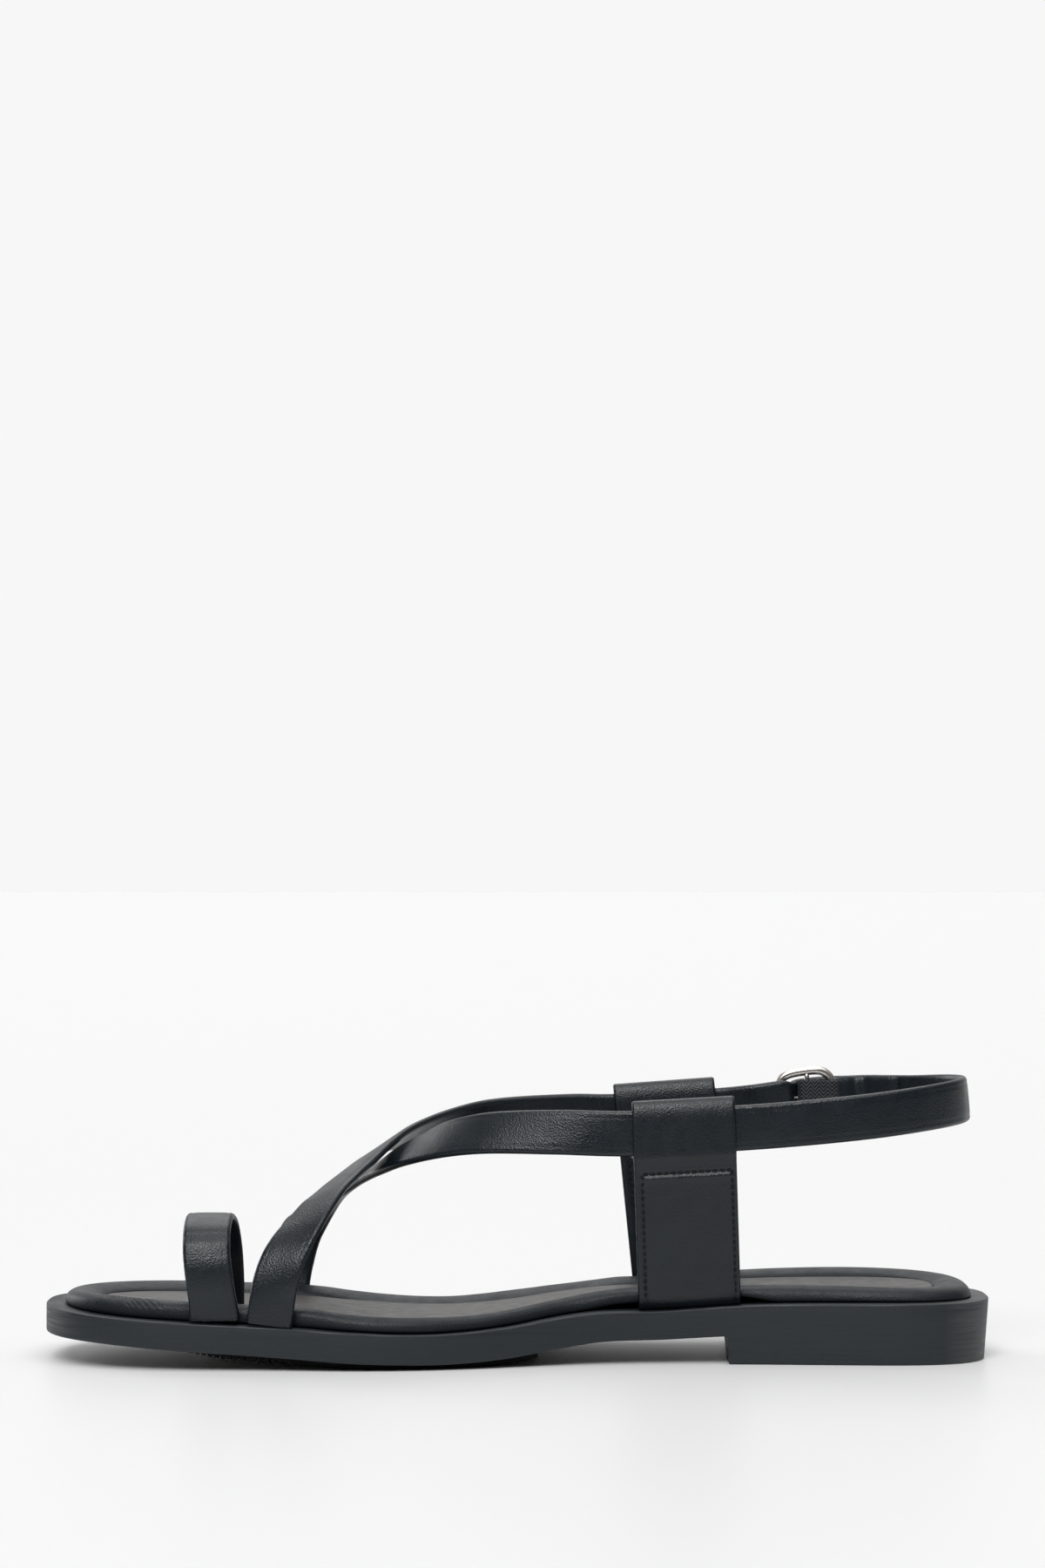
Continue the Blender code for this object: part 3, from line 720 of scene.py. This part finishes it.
def rubber_finish():
    """Moulded sole: matt, with fine level striations round its edge and a painted highlight in pale
    streaks on the heel's end.
    """
    made = material("sole_rubber", (0.02, 0.026, 0.031), 0.62, specular=0.5)
    lines = noise(made, 1.0, 4.0, (40.0, 40.0, 1300.0))
    tint(made, lines, (0.0064, 0.0107, 0.0143), (0.0097, 0.0144, 0.0183))
    # Painted highlight: pale streaks lighten the heel's end where light falls
    painted_heel_highlight(made, lines, (0.085, 0.086, 0.09))
    rough(made, lines, 0.4, 0.72)
    bump(made, [(lines, 0.00008), (noise(made, 2200.0, 2.0), 0.00004)])
    return made


def tread_finish():
    made = material("tread_rubber", (0.005, 0.0052, 0.006), 0.8, specular=0.2)
    rough(made, noise(made, 300.0, 3.0), 0.7, 0.9)
    bump(made, [(noise(made, 1500.0, 2.0), 0.00006)])
    return made


def metal_finish():
    made = material("buckle_metal", (0.64, 0.61, 0.57), 0.2, metallic=1.0)
    rough(made, noise(made, 500.0, 3.0), 0.2, 0.34)
    bump(made, [(noise(made, 900.0, 2.0), 0.000006)])
    return made


def elastic_finish():
    """Woven elastic: herringbone ribs on the band's own length and width in millimetres."""
    made = material("elastic_weave", (0.016, 0.017, 0.02), 0.7, specular=0.4)
    place = node(made, "ShaderNodeTexCoord")
    parts = node(made, "ShaderNodeSeparateXYZ")
    link(made, place.outputs["UV"], parts.inputs["Vector"])

    def step(operation, first, second, third=0.0):
        created = node(made, "ShaderNodeMath", operation=operation)
        link(made, first, created.inputs[0])
        created.inputs[1].default_value = second
        if isinstance(third, float):
            created.inputs[2].default_value = third
        else:
            link(made, third, created.inputs[2])
        return created.outputs["Value"]

    slant = step("MULTIPLY", step("PINGPONG", parts.outputs["X"], 1.2), 7.0)
    ribs = step("SINE", step("MULTIPLY_ADD", parts.outputs["Y"], 6.0, slant), 0.0)
    height = spread(made, ribs, 0.0, 1.0, -1.0, 1.0)
    tint(made, height, (0.006, 0.008, 0.011), (0.056, 0.062, 0.07))
    bump(made, [(height, 0.0003), (noise(made, 1500.0, 2.0), 0.00005)])
    return made


def thread_finish():
    made = material("sewing_thread", (0.006, 0.0065, 0.0075), 0.6, specular=0.3)
    tint(made, noise(made, 900.0, 2.0), (0.004, 0.0043, 0.005), (0.009, 0.0095, 0.0105))
    bump(made, [(noise(made, 2500.0, 2.0), 0.00005)])
    return made


sole_rubber = rubber_finish()
tread_rubber = tread_finish()
panel_leather = panel_finish()
buckle_metal = metal_finish()
elastic_weave = elastic_finish()
sewing_thread = thread_finish()


# Sole and tread


def build_sole():
    """Slab and heel block as loops from the top edge down, with eased edges."""
    points = []
    for row in SOLE_WALL:
        def inset_at(along, side, row=row):
            taper = SIDE_TAPER * blend(TAPER_START, TAPER_END, along)
            return row.inset + taper * row.share * (sole_top(along) - sole_under(along, side))

        for i, (along, across) in enumerate(plan_loop(inset_at)):
            top, under = sole_top(along), sole_under(along, -1.0 if i < len(PLACES) else 1.0)
            points.append((along, across, top + (under - top) * row.share - row.drop))
    count = 2 * len(PLACES)
    faces = wall_faces(len(SOLE_WALL), count) + across_faces(count, 0)
    faces += across_faces(count, count * (len(SOLE_WALL) - 1))
    made = piece("sole_moulding", points, faces, [sole_rubber])
    made.data.set_sharp_from_angle(angle=math.radians(SOLE_SHARP))
    put(made, "sole_rubber", "sole")


def tread_section(along, notch):
    """Section of the pad with eased lower edges, cut by a notch."""
    centre = eased(PLAN, "centre", along)
    half = eased(PLAN, "half_width", along) - TREAD_INSET
    upper = sole_bottom(along) - TREAD_SEAT
    grown = blend(TREAD_FRONT, TREAD_FRONT + TREAD_TAPER, along)
    thick = TREAD_TIP + (TREAD_THICKNESS - TREAD_TIP) * grown
    lower = min(max(0.0, upper - thick) + notch, upper - TREAD_LEAST)
    return [
        (along, centre - half, upper),
        (along, centre - half, lower + TREAD_EASE),
        (along, centre - half + TREAD_EASE, lower),
        (along, centre + half - TREAD_EASE, lower),
        (along, centre + half, lower + TREAD_EASE),
        (along, centre + half, upper),
    ]


def build_tread():
    """Pad with teeth across the ball."""
    teeth = int((TREAD_BACK - TREAD_FRONT) / TOOTH_PITCH)
    pitch = (TREAD_BACK - TREAD_FRONT) / teeth
    points = []
    for i in range(teeth):
        for share, notch in TOOTH_PROFILE:
            along = TREAD_FRONT + (i + share) * pitch
            weight = 1.0 - blend(TEETH_END - TEETH_FADE, TEETH_END, along)
            points += tread_section(along, notch * weight * TOOTH_DEPTH)
    points += tread_section(TREAD_BACK, 0.0)
    rings = len(points) // 6
    faces = wall_faces(rings, 6)
    faces += [tuple(range(6)), tuple(range(6 * (rings - 1), 6 * rings))]
    made = piece("tread_teeth", points, faces, [tread_rubber])
    made.data.set_sharp_from_angle(angle=math.radians(TREAD_SHARP))
    put(made, "tread_rubber", "forefoot_tread")


# Footbed


def footbed_rows():
    """The profile's rows on a smooth curve, ROW_STEPS to a row."""
    Knot = namedtuple("Knot", "at inset rise_fore rise_heel")
    knots = [Knot(float(i), *row) for i, row in enumerate(FOOTBED)]
    steps = (len(FOOTBED) - 1) * ROW_STEPS
    rows = []
    for i in range(steps + 1):
        at = i / ROW_STEPS
        rows.append((at, FootbedRow(*(eased(knots, column, at) for column in FootbedRow._fields))))
    return rows


def footbed_inset(at, inset, along, side):
    """Rim's plan: nearly flush at the inner ball, drawn in at the waist, fuller at the heel."""
    edge = 1.0 - blend(*RIM_EDGE, at)
    change = -HEEL_OUT * blend(*HEEL_OUT_RUN, along)
    if side < 0.0:
        change += form_at(WAIST_IN, along) - form_at(BALL_OUT, along)
    return inset + edge * change


def footbed_shape(at, along, across):
    """The rim's lift, the pleats at the inner toe and the lifted edge at the inner post."""
    side = (across - eased(PLAN, "centre", along)) / eased(PLAN, "half_width", along)
    outer = blend(-RIM_SIDE, RIM_SIDE, side)
    lift = eased(RIM_LIFT, "inner", along) * (1.0 - outer)
    lift += eased(RIM_LIFT, "outer", along) * outer
    change = lift * blend(*LIFT_RISE, at) * (1.0 - LIFT_LOST * blend(*LIFT_FADE, at))
    if across > 0.0:
        return change
    rim = bell(at, RIM_CREST, RIM_CREST_WIDTH)
    for start, depth in PLEATS:
        change -= rim * depth * bell(along + at, start, PLEAT_WIDTH)
    raised = blend(*POST_LIFT_START, along) * (1.0 - blend(*POST_LIFT_END, along))
    change += POST_LIFT * raised * (1.0 - blend(*POST_LIFT_FADE, at))
    return change + rim * form_at(RIM_WAVE, along) * math.sin(along * WAVE_RATE + WAVE_START)


def build_footbed():
    points, slots = [], []
    rows = footbed_rows()
    count = 2 * len(PLACES)
    for at, row in rows:
        def inset_at(along, side, at=at, row=row):
            return footbed_inset(at, row.inset, along, side)

        for along, across in plan_loop(inset_at):
            share = blend(FORE_END, SEAT_START, along)
            rise = row.rise_fore + (row.rise_heel - row.rise_fore) * share
            rise += footbed_shape(at, along, across)
            rise -= form_at(LOOP_DENT, along) * bell(across, LOOP_DENT_ACROSS, LOOP_DENT_WIDTH)
            points.append((along, across, sole_top(along) + max(GAP, rise)))
    faces = wall_faces(len(rows), count)
    for at, _ in rows[:-1]:
        slots += [1 if at >= PANEL_FROM else 0] * count
    faces += across_faces(count, 0) + across_faces(count, count * (len(rows) - 1))
    slots += [0] * (count // 2 - 1) + [1] * (count // 2 - 1)
    made = piece("footbed_pad", points, faces, [rim_leather, panel_leather], slots)
    put(made, "footbed_leather", "footbed")


# Bands: straps, toe loop, posts and elastic


Station = namedtuple("Station", "centre outer across at")


def outward(turn, rise):
    """Direction by its turn from +X towards +Y and its rise, in degrees."""
    turn, rise = math.radians(turn), math.radians(rise)
    level = math.cos(rise)
    return Vector((math.cos(turn) * level, math.sin(turn) * level, math.sin(rise)))


def strap_stations(rows):
    """Even stations along a smooth curve through the rows."""
    points = [Vector(row[:3]) for row in rows]
    lengths = [0.0]
    for a, b in zip(points, points[1:]):
        lengths.append(lengths[-1] + (b - a).length)
    Knot = namedtuple("Knot", "at x y z turn rise")
    knots = [Knot(at, *row) for at, row in zip(lengths, rows)]
    count = max(2, round(lengths[-1] / BAND_STEP))
    path = []
    for i in range(count + 1):
        at = lengths[-1] * i / count
        values = [eased(knots, column, at) for column in Knot._fields[1:]]
        path.append((Vector(values[:3]), outward(values[3], values[4]), at))
    stations = []
    for i, (centre, outer, at) in enumerate(path):
        before, after = path[max(i - 1, 0)][0], path[min(i + 1, count)][0]
        across = (after - before).cross(outer).normalized()
        stations.append(Station(centre, outer, across, at))
    return stations


def band_section(width, thickness, crown=0.12, groove=0.12, groove_in=1.7, faces=18):
    """Closed section (across, out): crowned outer face with a crease inside each rolled edge."""
    half, edge = 0.5 * width, 0.5 * thickness
    flat = half - edge
    section = []
    for i in range(faces + 1):
        across = -flat + 2.0 * flat * i / faces
        out = edge + crown * (1.0 - (across / half) ** 2)
        out -= groove * bell(abs(across), half - groove_in, 0.3)
        section.append((across, out))
    turns = 5
    for i in range(1, turns):
        angle = math.pi * (0.5 - i / turns)
        section.append((flat + edge * math.cos(angle), edge * math.sin(angle)))
    for i in range(faces + 1):
        section.append((flat - 2.0 * flat * i / faces, -edge))
    for i in range(1, turns):
        angle = math.pi * (-0.5 - i / turns)
        section.append((-flat + edge * math.cos(angle), edge * math.sin(angle)))
    return section


def band(stations, section, narrow=None, relief=None):
    """Points, faces and UVs (millimetres) of a band swept along stations.

    narrow(at) is its share of the width, and relief(at, across, out) lifts its faces.
    """
    count = len(section)
    points, uvs = [], []
    girth = [0.0]
    for a, b in zip(section, section[1:]):
        girth.append(girth[-1] + math.dist(a, b))
    for station in stations:
        share = narrow(station.at) if narrow else 1.0
        for (across, out), round_at in zip(section, girth):
            lifted = out + relief(station.at, across, out) if relief else out
            offset = station.across * (across * share) + station.outer * lifted
            points.append(station.centre + offset)
            uvs.append((station.at, round_at))
    faces = wall_faces(len(stations), count)
    faces += [tuple(range(count)), tuple(range(count * (len(stations) - 1), count * len(stations)))]
    return points, faces, uvs


def joined(*shells):
    """Several shells as one list of points, faces and UVs."""
    points, faces, uvs = [], [], []
    for shell_points, shell_faces, shell_uvs in shells:
        start = len(points)
        points += shell_points
        faces += [tuple(start + i for i in face) for face in shell_faces]
        uvs += shell_uvs
    return points, faces, uvs


def build_straps():
    section = band_section(STRAP_WIDTH, STRAP_THICKNESS)
    inner = strap_stations(INNER_TO_OUTER)
    heel = strap_stations(OUTER_TO_HEEL)
    tip = inner[-1].at

    def pointed(at):
        left = max(tip - at, 0.0)
        slim = 1.0 - BUCKLED_SLIM * (1.0 - blend(BUCKLED_END, BUCKLED_END + BUCKLED_EASE, left))
        return max(TIP_LEAST, slim - (1.0 - min(left / TIP_LENGTH, 1.0)) ** TIP_POWER)

    def folded(at, across, out):
        """The heel strap's end, doubled back inside over the elastic and sewn down."""
        if out >= 0.0:
            return 0.0
        left = heel[-1].at - at
        swell = FOLDED_LAYER * (1.0 - blend(FOLDED_END - FOLDED_EASE, FOLDED_END, left))
        swell += form_at(FOLDED_ROLL, left) - form_at(FOLDED_NECK, left) - form_at(FOLDED_SEAM, left)
        return -swell * (1.0 - FOLDED_EDGE * (2.0 * across / STRAP_WIDTH) ** 4)

    points, faces, uvs = joined(band(inner, section, pointed), band(heel, section, relief=folded))
    made = piece("crossed_straps", points, faces, [strap_leather], uvs=uvs)
    made.data.set_sharp_from_angle(angle=math.radians(LEATHER_SHARP))
    put(made, "strap_leather", "strap_upper")
    return heel


def build_toe_loop():
    def flared(at):
        return 1.0 + LOOP_FLARE * (1.0 - blend(0.0, LOOP_FLARE_END, at))

    def creased(at, _, out):
        if out <= 0.0:
            return 0.0
        return form_at(CREASE_RIDGE, at) - form_at(CREASE_FOLD, at)

    section = band_section(LOOP_WIDTH, STRAP_THICKNESS)
    points, faces, uvs = band(strap_stations(TOE_LOOP), section, flared, creased)
    made = piece("toe_band", points, faces, [strap_leather], uvs=uvs)
    made.data.set_sharp_from_angle(angle=math.radians(LEATHER_SHARP))
    put(made, "strap_leather", "toe_loop")


def post_path(height, slack):
    """Middle line of the folded sheet, (across, up): up, round the strap and down again."""
    half_wall = 0.5 * POST_WALL
    middle = 0.5 * LOOP_DEPTH + half_wall
    top = 0.5 * LOOP_HEIGHT
    throat = height - top - LOOP_TAPER
    crown = height + top + slack + half_wall - FOLD_RISE
    side = [(half_wall, throat * i / POST_STEPS) for i in range(POST_STEPS)]
    for i in range(THROAT_STEPS + 1):
        share = i / THROAT_STEPS
        opened = half_wall + (middle - half_wall) * blend(0.0, 1.0, share)
        side.append((opened, throat + LOOP_TAPER * share))
    for i in range(1, WALL_STEPS + 1):
        side.append((middle, height - top + (crown - height + top) * i / WALL_STEPS))
    turns = [math.pi * i / FOLD_STEPS for i in range(1, FOLD_STEPS)]
    fold = [(middle * math.cos(turn), crown + FOLD_RISE * math.sin(turn)) for turn in turns]
    return side + fold + [(-across, up) for across, up in reversed(side)]


def post_seam(row):
    """Height of the level row of stitches above the post's seat."""
    height = row.loop_centre - sole_top(row.base_along) - GAP
    return height - 0.5 * LOOP_HEIGHT - LOOP_TAPER - SEAM_DROP


def post_place(row, across, up, off):
    """Place on a post: leant from its seat to the strap, as wide as off along the shoe."""
    base = sole_top(row.base_along) + GAP
    along = row.base_along + (row.along - row.base_along) * up / (row.loop_centre - base) + off
    seat = row.base_across + row.base_turn * off
    middle = seat + (row.top_across - seat) * min(up / (post_seam(row) + SEAM_DROP), 1.0)
    middle -= math.copysign(POST_CURL, seat) * (1.0 - min(up / POST_CURL_HEIGHT, 1.0)) ** 2
    return Vector((along, middle + across, base + up + row.slope * off))


def post_relief(row, up, off):
    """Sewn box pressed into a tab's outer face, with a soft ridge under its level row."""
    seam = post_seam(row)
    front = blend(SEAM_FRONT - SEAM_OUT, SEAM_FRONT + SEAM_IN, off)
    back = 1.0 - blend(SEAM_BACK - SEAM_IN, SEAM_BACK + SEAM_OUT, off)
    inside = front * back
    level = bell(up, seam, SEAM_WIDTH) * inside
    sides = max(bell(off, SEAM_FRONT, SEAM_WIDTH), bell(off, SEAM_BACK, SEAM_WIDTH))
    down = sides * (1.0 - blend(seam, seam + SEAM_END, up))
    ridge = form_at(SEAM_RIDGE, seam - up) + form_at(SEAM_BELLY, seam - up)
    return ridge * inside - SEAM_DEPTH * max(level, down)


def build_post(row):
    """Folded and sewn tab."""
    height = row.loop_centre - sole_top(row.base_along) - GAP
    path = post_path(height, row.slack)
    section = band_section(row.width, POST_WALL - SHEET_GAP, crown=0.0, groove=0.0, faces=POST_FACES)
    points, uvs = [], []
    at = 0.0
    for i, (across, up) in enumerate(path):
        before, after = path[max(i - 1, 0)], path[min(i + 1, len(path) - 1)]
        run = Vector((after[0] - before[0], after[1] - before[1])).normalized()
        if i:
            at += math.dist(path[i], path[i - 1])
        for off, out in section:
            if out > 0.0:
                out += post_relief(row, up, off)
            points.append(post_place(row, across + run.y * out, up - run.x * out, off))
            uvs.append((at, off))
    count = len(section)
    faces = wall_faces(len(path), count)
    faces += [tuple(range(count)), tuple(range(count * (len(path) - 1), count * len(path)))]
    made = piece(row.name + "_tab", points, faces, [post_leather], uvs=uvs)
    made.data.set_sharp_from_angle(angle=math.radians(LEATHER_SHARP))
    put(made, "post_leather", row.name)


# Stitches


def stitch_row(places):
    """Short rounded threads along places: (point, out) pairs, evenly pitched."""
    points, faces = [], []
    total = [0.0]
    for (a, _), (b, _) in zip(places, places[1:]):
        total.append(total[-1] + (b - a).length)
    count = max(1, round(total[-1] / STITCH_PITCH))
    rings = len(STITCH_SWELL)
    for k in range(count):
        middle = (k + 0.5) * total[-1] / count
        ends = []
        for at in (middle - 0.5 * STITCH_LENGTH, middle + 0.5 * STITCH_LENGTH):
            i = min(max(int(np.searchsorted(total, at)) - 1, 0), len(places) - 2)
            t = (at - total[i]) / (total[i + 1] - total[i])
            (first, first_out), (second, second_out) = places[i], places[i + 1]
            ends.append((first.lerp(second, t), first_out.lerp(second_out, t)))
        (start, out), (end, _) = ends
        side = (end - start).cross(out).normalized()
        shell = len(points)
        for share, swell in STITCH_SWELL:
            arch = STITCH_ARCH * math.sin(math.pi * share) - STITCH_SINK
            centre = start.lerp(end, share) + out * arch
            for j in range(STITCH_SIDES):
                angle = math.tau * j / STITCH_SIDES
                spoke = side * math.cos(angle) + out * math.sin(angle)
                points.append(centre + spoke * (STITCH_RADIUS * swell))
        last = shell + (rings - 1) * STITCH_SIDES
        faces += wall_faces(rings, STITCH_SIDES, shell)
        faces += [tuple(range(shell, shell + STITCH_SIDES)), tuple(range(last, last + STITCH_SIDES))]
    return points, faces, [(0.0, 0.0)] * len(points)


def post_stitch_lines(row, face):
    """The sewn box on one face of a post: across under the strap and down near both edges."""
    seam = post_seam(row)
    out = Vector((0.0, face, 0.0))
    lift = face * (POST_WALL - STITCH_SEAT)
    level = []
    for i in range(LEVEL_STEPS + 1):
        off = SEAM_FRONT + (SEAM_BACK - SEAM_FRONT) * i / LEVEL_STEPS
        level.append((post_place(row, lift, seam, off), out))
    lines = [level]
    for off in (SEAM_FRONT, SEAM_BACK):
        run = []
        for i in range(DOWN_STEPS + 1):
            up = seam - (seam - SEAM_FOOT) * i / DOWN_STEPS
            run.append((post_place(row, lift, up, off), out))
        lines.append(run)
    return lines


def build_stitches(heel):
    shells = []
    for row in POSTS:
        for face in (-1.0, 1.0):
            shells += [stitch_row(line) for line in post_stitch_lines(row, face)]
    points, faces, _ = joined(*shells)
    made = piece("post_stitches", points, faces, [sewing_thread])
    put(made, "post_leather")
    station = min(heel, key=lambda station: abs(heel[-1].at - station.at - FOLDED_END))
    lines = []
    for face in (-1.0, 1.0):
        out = station.outer * face
        seat = station.centre + out * (0.5 * STRAP_THICKNESS + HEEL_SEAM_LIFT)
        line = []
        for i in range(HEEL_SEAM_STEPS + 1):
            line.append((seat + station.across * (HEEL_SEAM * (i / HEEL_SEAM_STEPS - 0.5)), out))
        lines.append(line)
    points, faces, _ = joined(*(stitch_row(line) for line in lines))
    made = piece("heel_strap_stitches", points, faces, [sewing_thread])
    put(made, "strap_leather")


# Buckle and elastic


def wire(points, radius, closed=False, sides=14, wide=1.0):
    """Round wire through points, or one widened in its own plane."""
    flat = []
    count = len(points)
    up = Vector((0.0, 1.0, 0.0))
    for i, point in enumerate(points):
        before = points[(i - 1) % count] if closed else points[max(i - 1, 0)]
        after = points[(i + 1) % count] if closed else points[min(i + 1, count - 1)]
        run = (after - before).normalized()
        if abs(run.y) > 0.9:
            up = Vector((1.0, 0.0, 0.0))
        side = run.cross(up).normalized()
        over = side.cross(run).normalized()
        for j in range(sides):
            angle = math.tau * j / sides
            spoke = side * (wide * math.cos(angle)) + over * math.sin(angle)
            flat.append(point + spoke * radius)
    faces = wall_faces(count, sides)
    if closed:
        last = (count - 1) * sides
        faces += [(last + j, last + (j + 1) % sides, (j + 1) % sides, j) for j in range(sides)]
    else:
        faces += [tuple(range(sides)), tuple(range((count - 1) * sides, count * sides))]
    return flat, faces, [(0.0, 0.0)] * len(flat)


def arc(centre, radius, start, end, steps):
    """Points of an arc from start to end, in degrees."""
    made = []
    for i in range(steps + 1):
        angle = math.radians(start + (end - start) * i / steps)
        made.append((centre[0] + radius * math.cos(angle), centre[1] + radius * math.sin(angle)))
    return made


def build_buckle():
    turn = math.radians(FRAME_TILT)
    ring = []
    for i in range(FRAME_STEPS):
        angle = math.tau * i / FRAME_STEPS
        cos, sin = math.cos(angle), math.sin(angle)
        reach = (abs(cos) ** FRAME_SQUARE + abs(sin) ** FRAME_SQUARE) ** (-1.0 / FRAME_SQUARE)
        long, high = FRAME_LONG * reach * cos, FRAME_HALF * reach * sin
        along = FRAME_CENTRE[0] + long * math.cos(turn) - high * math.sin(turn)
        up = FRAME_CENTRE[1] + long * math.sin(turn) + high * math.cos(turn)
        ring.append(Vector((along, FRAME_PLANE, up)))
    frame_wire = wire(ring, FRAME_WIRE, closed=True, wide=FRAME_WIDE)
    bar_line = []
    for i in range(BAR_STEPS + 1):
        up = FRAME_CENTRE[1] + FRAME_HALF * (2.0 * i / BAR_STEPS - 1.0)
        bar_line.append(Vector((BAR_X, FRAME_PLANE, up)))
    bar = wire(bar_line, BAR_RADIUS)
    points, faces, _ = joined(frame_wire, bar)
    put(piece("buckle_ring", points, faces, [buckle_metal]), "buckle_metal", "buckle_frame")

    clear = FRAME_WIRE + 2.0 * GAP + PRONG_RADIUS
    root = Vector((BAR_X, FRAME_PLANE - PRONG_HOOK, PRONG_HEIGHT))
    over = Vector((FRAME_CENTRE[0] - FRAME_LONG, FRAME_PLANE + clear, PRONG_HEIGHT))
    tip = over + (over - root).normalized() * PRONG_REACH
    hook = arc((BAR_X, FRAME_PLANE), PRONG_HOOK, 90.0, -90.0, HOOK_STEPS)
    line = [Vector((x, y, PRONG_HEIGHT)) for x, y in hook]
    line += [root.lerp(tip, i / PRONG_STEPS) for i in range(1, PRONG_STEPS + 1)]
    points, faces, _ = wire(line, PRONG_RADIUS)
    put(piece("buckle_tongue", points, faces, [buckle_metal]), "buckle_metal", "buckle_prong")


def build_elastic():
    """Woven band doubled round the bar and sewn to the heel strap."""
    end = Vector((OUTER_TO_HEEL[-1].along - GAP, OUTER_TO_HEEL[-1].across))
    run = (end - ELASTIC_MERGE).normalized()
    side = Vector((-run.y, run.x))
    layer = 0.5 * ELASTIC_LAYER
    turn = PRONG_HOOK + PRONG_RADIUS + ELASTIC_CLEAR + layer
    wrap = arc((BAR_X, FRAME_PLANE), turn, WRAP_START, WRAP_END, WRAP_STEPS)
    shares = [i / ELASTIC_STEPS for i in range(ELASTIC_STEPS + 1)]
    path = [end.lerp(ELASTIC_MERGE, share) - side * layer for share in shares]
    path += [Vector(point) for point in reversed(wrap)]
    path += [ELASTIC_MERGE.lerp(end, share) + side * layer for share in shares]
    section = band_section(ELASTIC_WIDTH, ELASTIC_LAYER, crown=0.0, groove=0.0)
    upright = Vector((0.0, 0.0, 1.0))
    stations = []
    at = 0.0
    for i, point in enumerate(path):
        before, after = path[max(i - 1, 0)], path[min(i + 1, len(path) - 1)]
        tangent = (after - before).normalized()
        if i:
            at += (point - path[i - 1]).length
        outer = Vector((tangent.y, -tangent.x, 0.0))
        centre = Vector((point.x, point.y, ELASTIC_MIDDLE))
        stations.append(Station(centre, outer, upright, at))
    points, faces, uvs = band(stations, section)
    put(piece("elastic_band", points, faces, [elastic_weave], uvs=uvs), "elastic", "elastic_gusset")


# Stage, light and camera


def build_stage():
    mesh = bpy.data.meshes.new("studio_floor")
    half = 0.5 * FLOOR_SIZE
    corners = [
        (-half, -FLOOR_FRONT, 0.0),
        (half, -FLOOR_FRONT, 0.0),
        (half, half, 0.0),
        (-half, half, 0.0),
    ]
    mesh.from_pydata(corners, [], [(0, 1, 2, 3)])
    paper = material("studio_paper", (0.91, 0.91, 0.91), 0.38, specular=0.2)
    mesh.materials.append(paper)
    floor = bpy.data.objects.new("studio_floor", mesh)
    bpy.context.scene.collection.objects.link(floor)


def build_sun(row):
    """Broad soft light; one that isn't lit is only seen mirrored in gloss."""
    lamp = bpy.data.lights.new(row.name, "SUN")
    lamp.energy = row.strength
    lamp.angle = math.radians(row.angle)
    made = bpy.data.objects.new(row.name, lamp)
    made.rotation_euler = outward(row.azimuth, row.height).to_track_quat("Z", "Y").to_euler()
    made.visible_diffuse = row.lit
    bpy.context.scene.collection.objects.link(made)


def ranged(tree, value, low, high, to_low, to_high):
    """Value eased from one range to another."""
    made = tree.nodes.new("ShaderNodeMapRange")
    made.interpolation_type = "SMOOTHSTEP"
    limits = {"From Min": low, "From Max": high, "To Min": to_low, "To Max": to_high}
    for name, number in limits.items():
        made.inputs[name].default_value = number
    tree.links.new(value, made.inputs["Value"])
    return made.outputs["Result"]


def build_light():
    """White paper behind, a dim room on the camera's side, and a broad soft key above the front."""
    scene = bpy.context.scene
    world = bpy.data.worlds.new("studio_air")
    scene.world = world
    world.use_nodes = True
    tree = world.node_tree
    seen = tree.nodes["Background"]
    seen.inputs["Color"].default_value = (BACKDROP, BACKDROP, BACKDROP, 1.0)
    air = tree.nodes.new("ShaderNodeBackground")
    air.inputs["Color"].default_value = (1.0, 1.0, 1.0, 1.0)
    place = tree.nodes.new("ShaderNodeTexCoord")
    parts = tree.nodes.new("ShaderNodeSeparateXYZ")
    tree.links.new(place.outputs["Generated"], parts.inputs["Vector"])
    level = tree.nodes.new("ShaderNodeMix")
    level.data_type = "FLOAT"
    above = ranged(tree, parts.outputs["Z"], *AIR_TOP_RUN, 0.0, 1.0)
    behind = ranged(tree, parts.outputs["Y"], *AIR_BACK_RUN, AIR_ROUND, AIR_BACK)
    tree.links.new(above, level.inputs["Factor"])
    tree.links.new(behind, level.inputs["A"])
    level.inputs["B"].default_value = AIR_TOP
    tree.links.new(level.outputs["Result"], air.inputs["Strength"])
    path = tree.nodes.new("ShaderNodeLightPath")
    mix = tree.nodes.new("ShaderNodeMixShader")
    tree.links.new(path.outputs["Is Camera Ray"], mix.inputs["Fac"])
    tree.links.new(air.outputs["Background"], mix.inputs[1])
    tree.links.new(seen.outputs["Background"], mix.inputs[2])
    tree.links.new(mix.outputs["Shader"], tree.nodes["World Output"].inputs["Surface"])
    for row in SUNS:
        build_sun(row)
    scene.view_settings.view_transform = "Standard"
    scene.view_settings.look = "None"


def build_camera():
    lens = bpy.data.cameras.new("photo_camera")
    lens.lens = LENS
    lens.sensor_width = SENSOR
    camera = bpy.data.objects.new("photo_camera", lens)
    camera.location = (Vector((0.0, -CAMERA_BACK, CAMERA_UP)) + SHIFT) * MM
    camera.rotation_euler = (0.5 * math.pi + math.atan(CAMERA_PITCH), 0.0, 0.0)
    bpy.context.scene.collection.objects.link(camera)
    bpy.context.scene.camera = camera


build_sole()
build_tread()
build_footbed()
heel_stations = build_straps()
build_toe_loop()
for post in POSTS:
    build_post(post)
build_stitches(heel_stations)
build_buckle()
build_elastic()
build_stage()
build_light()
build_camera()
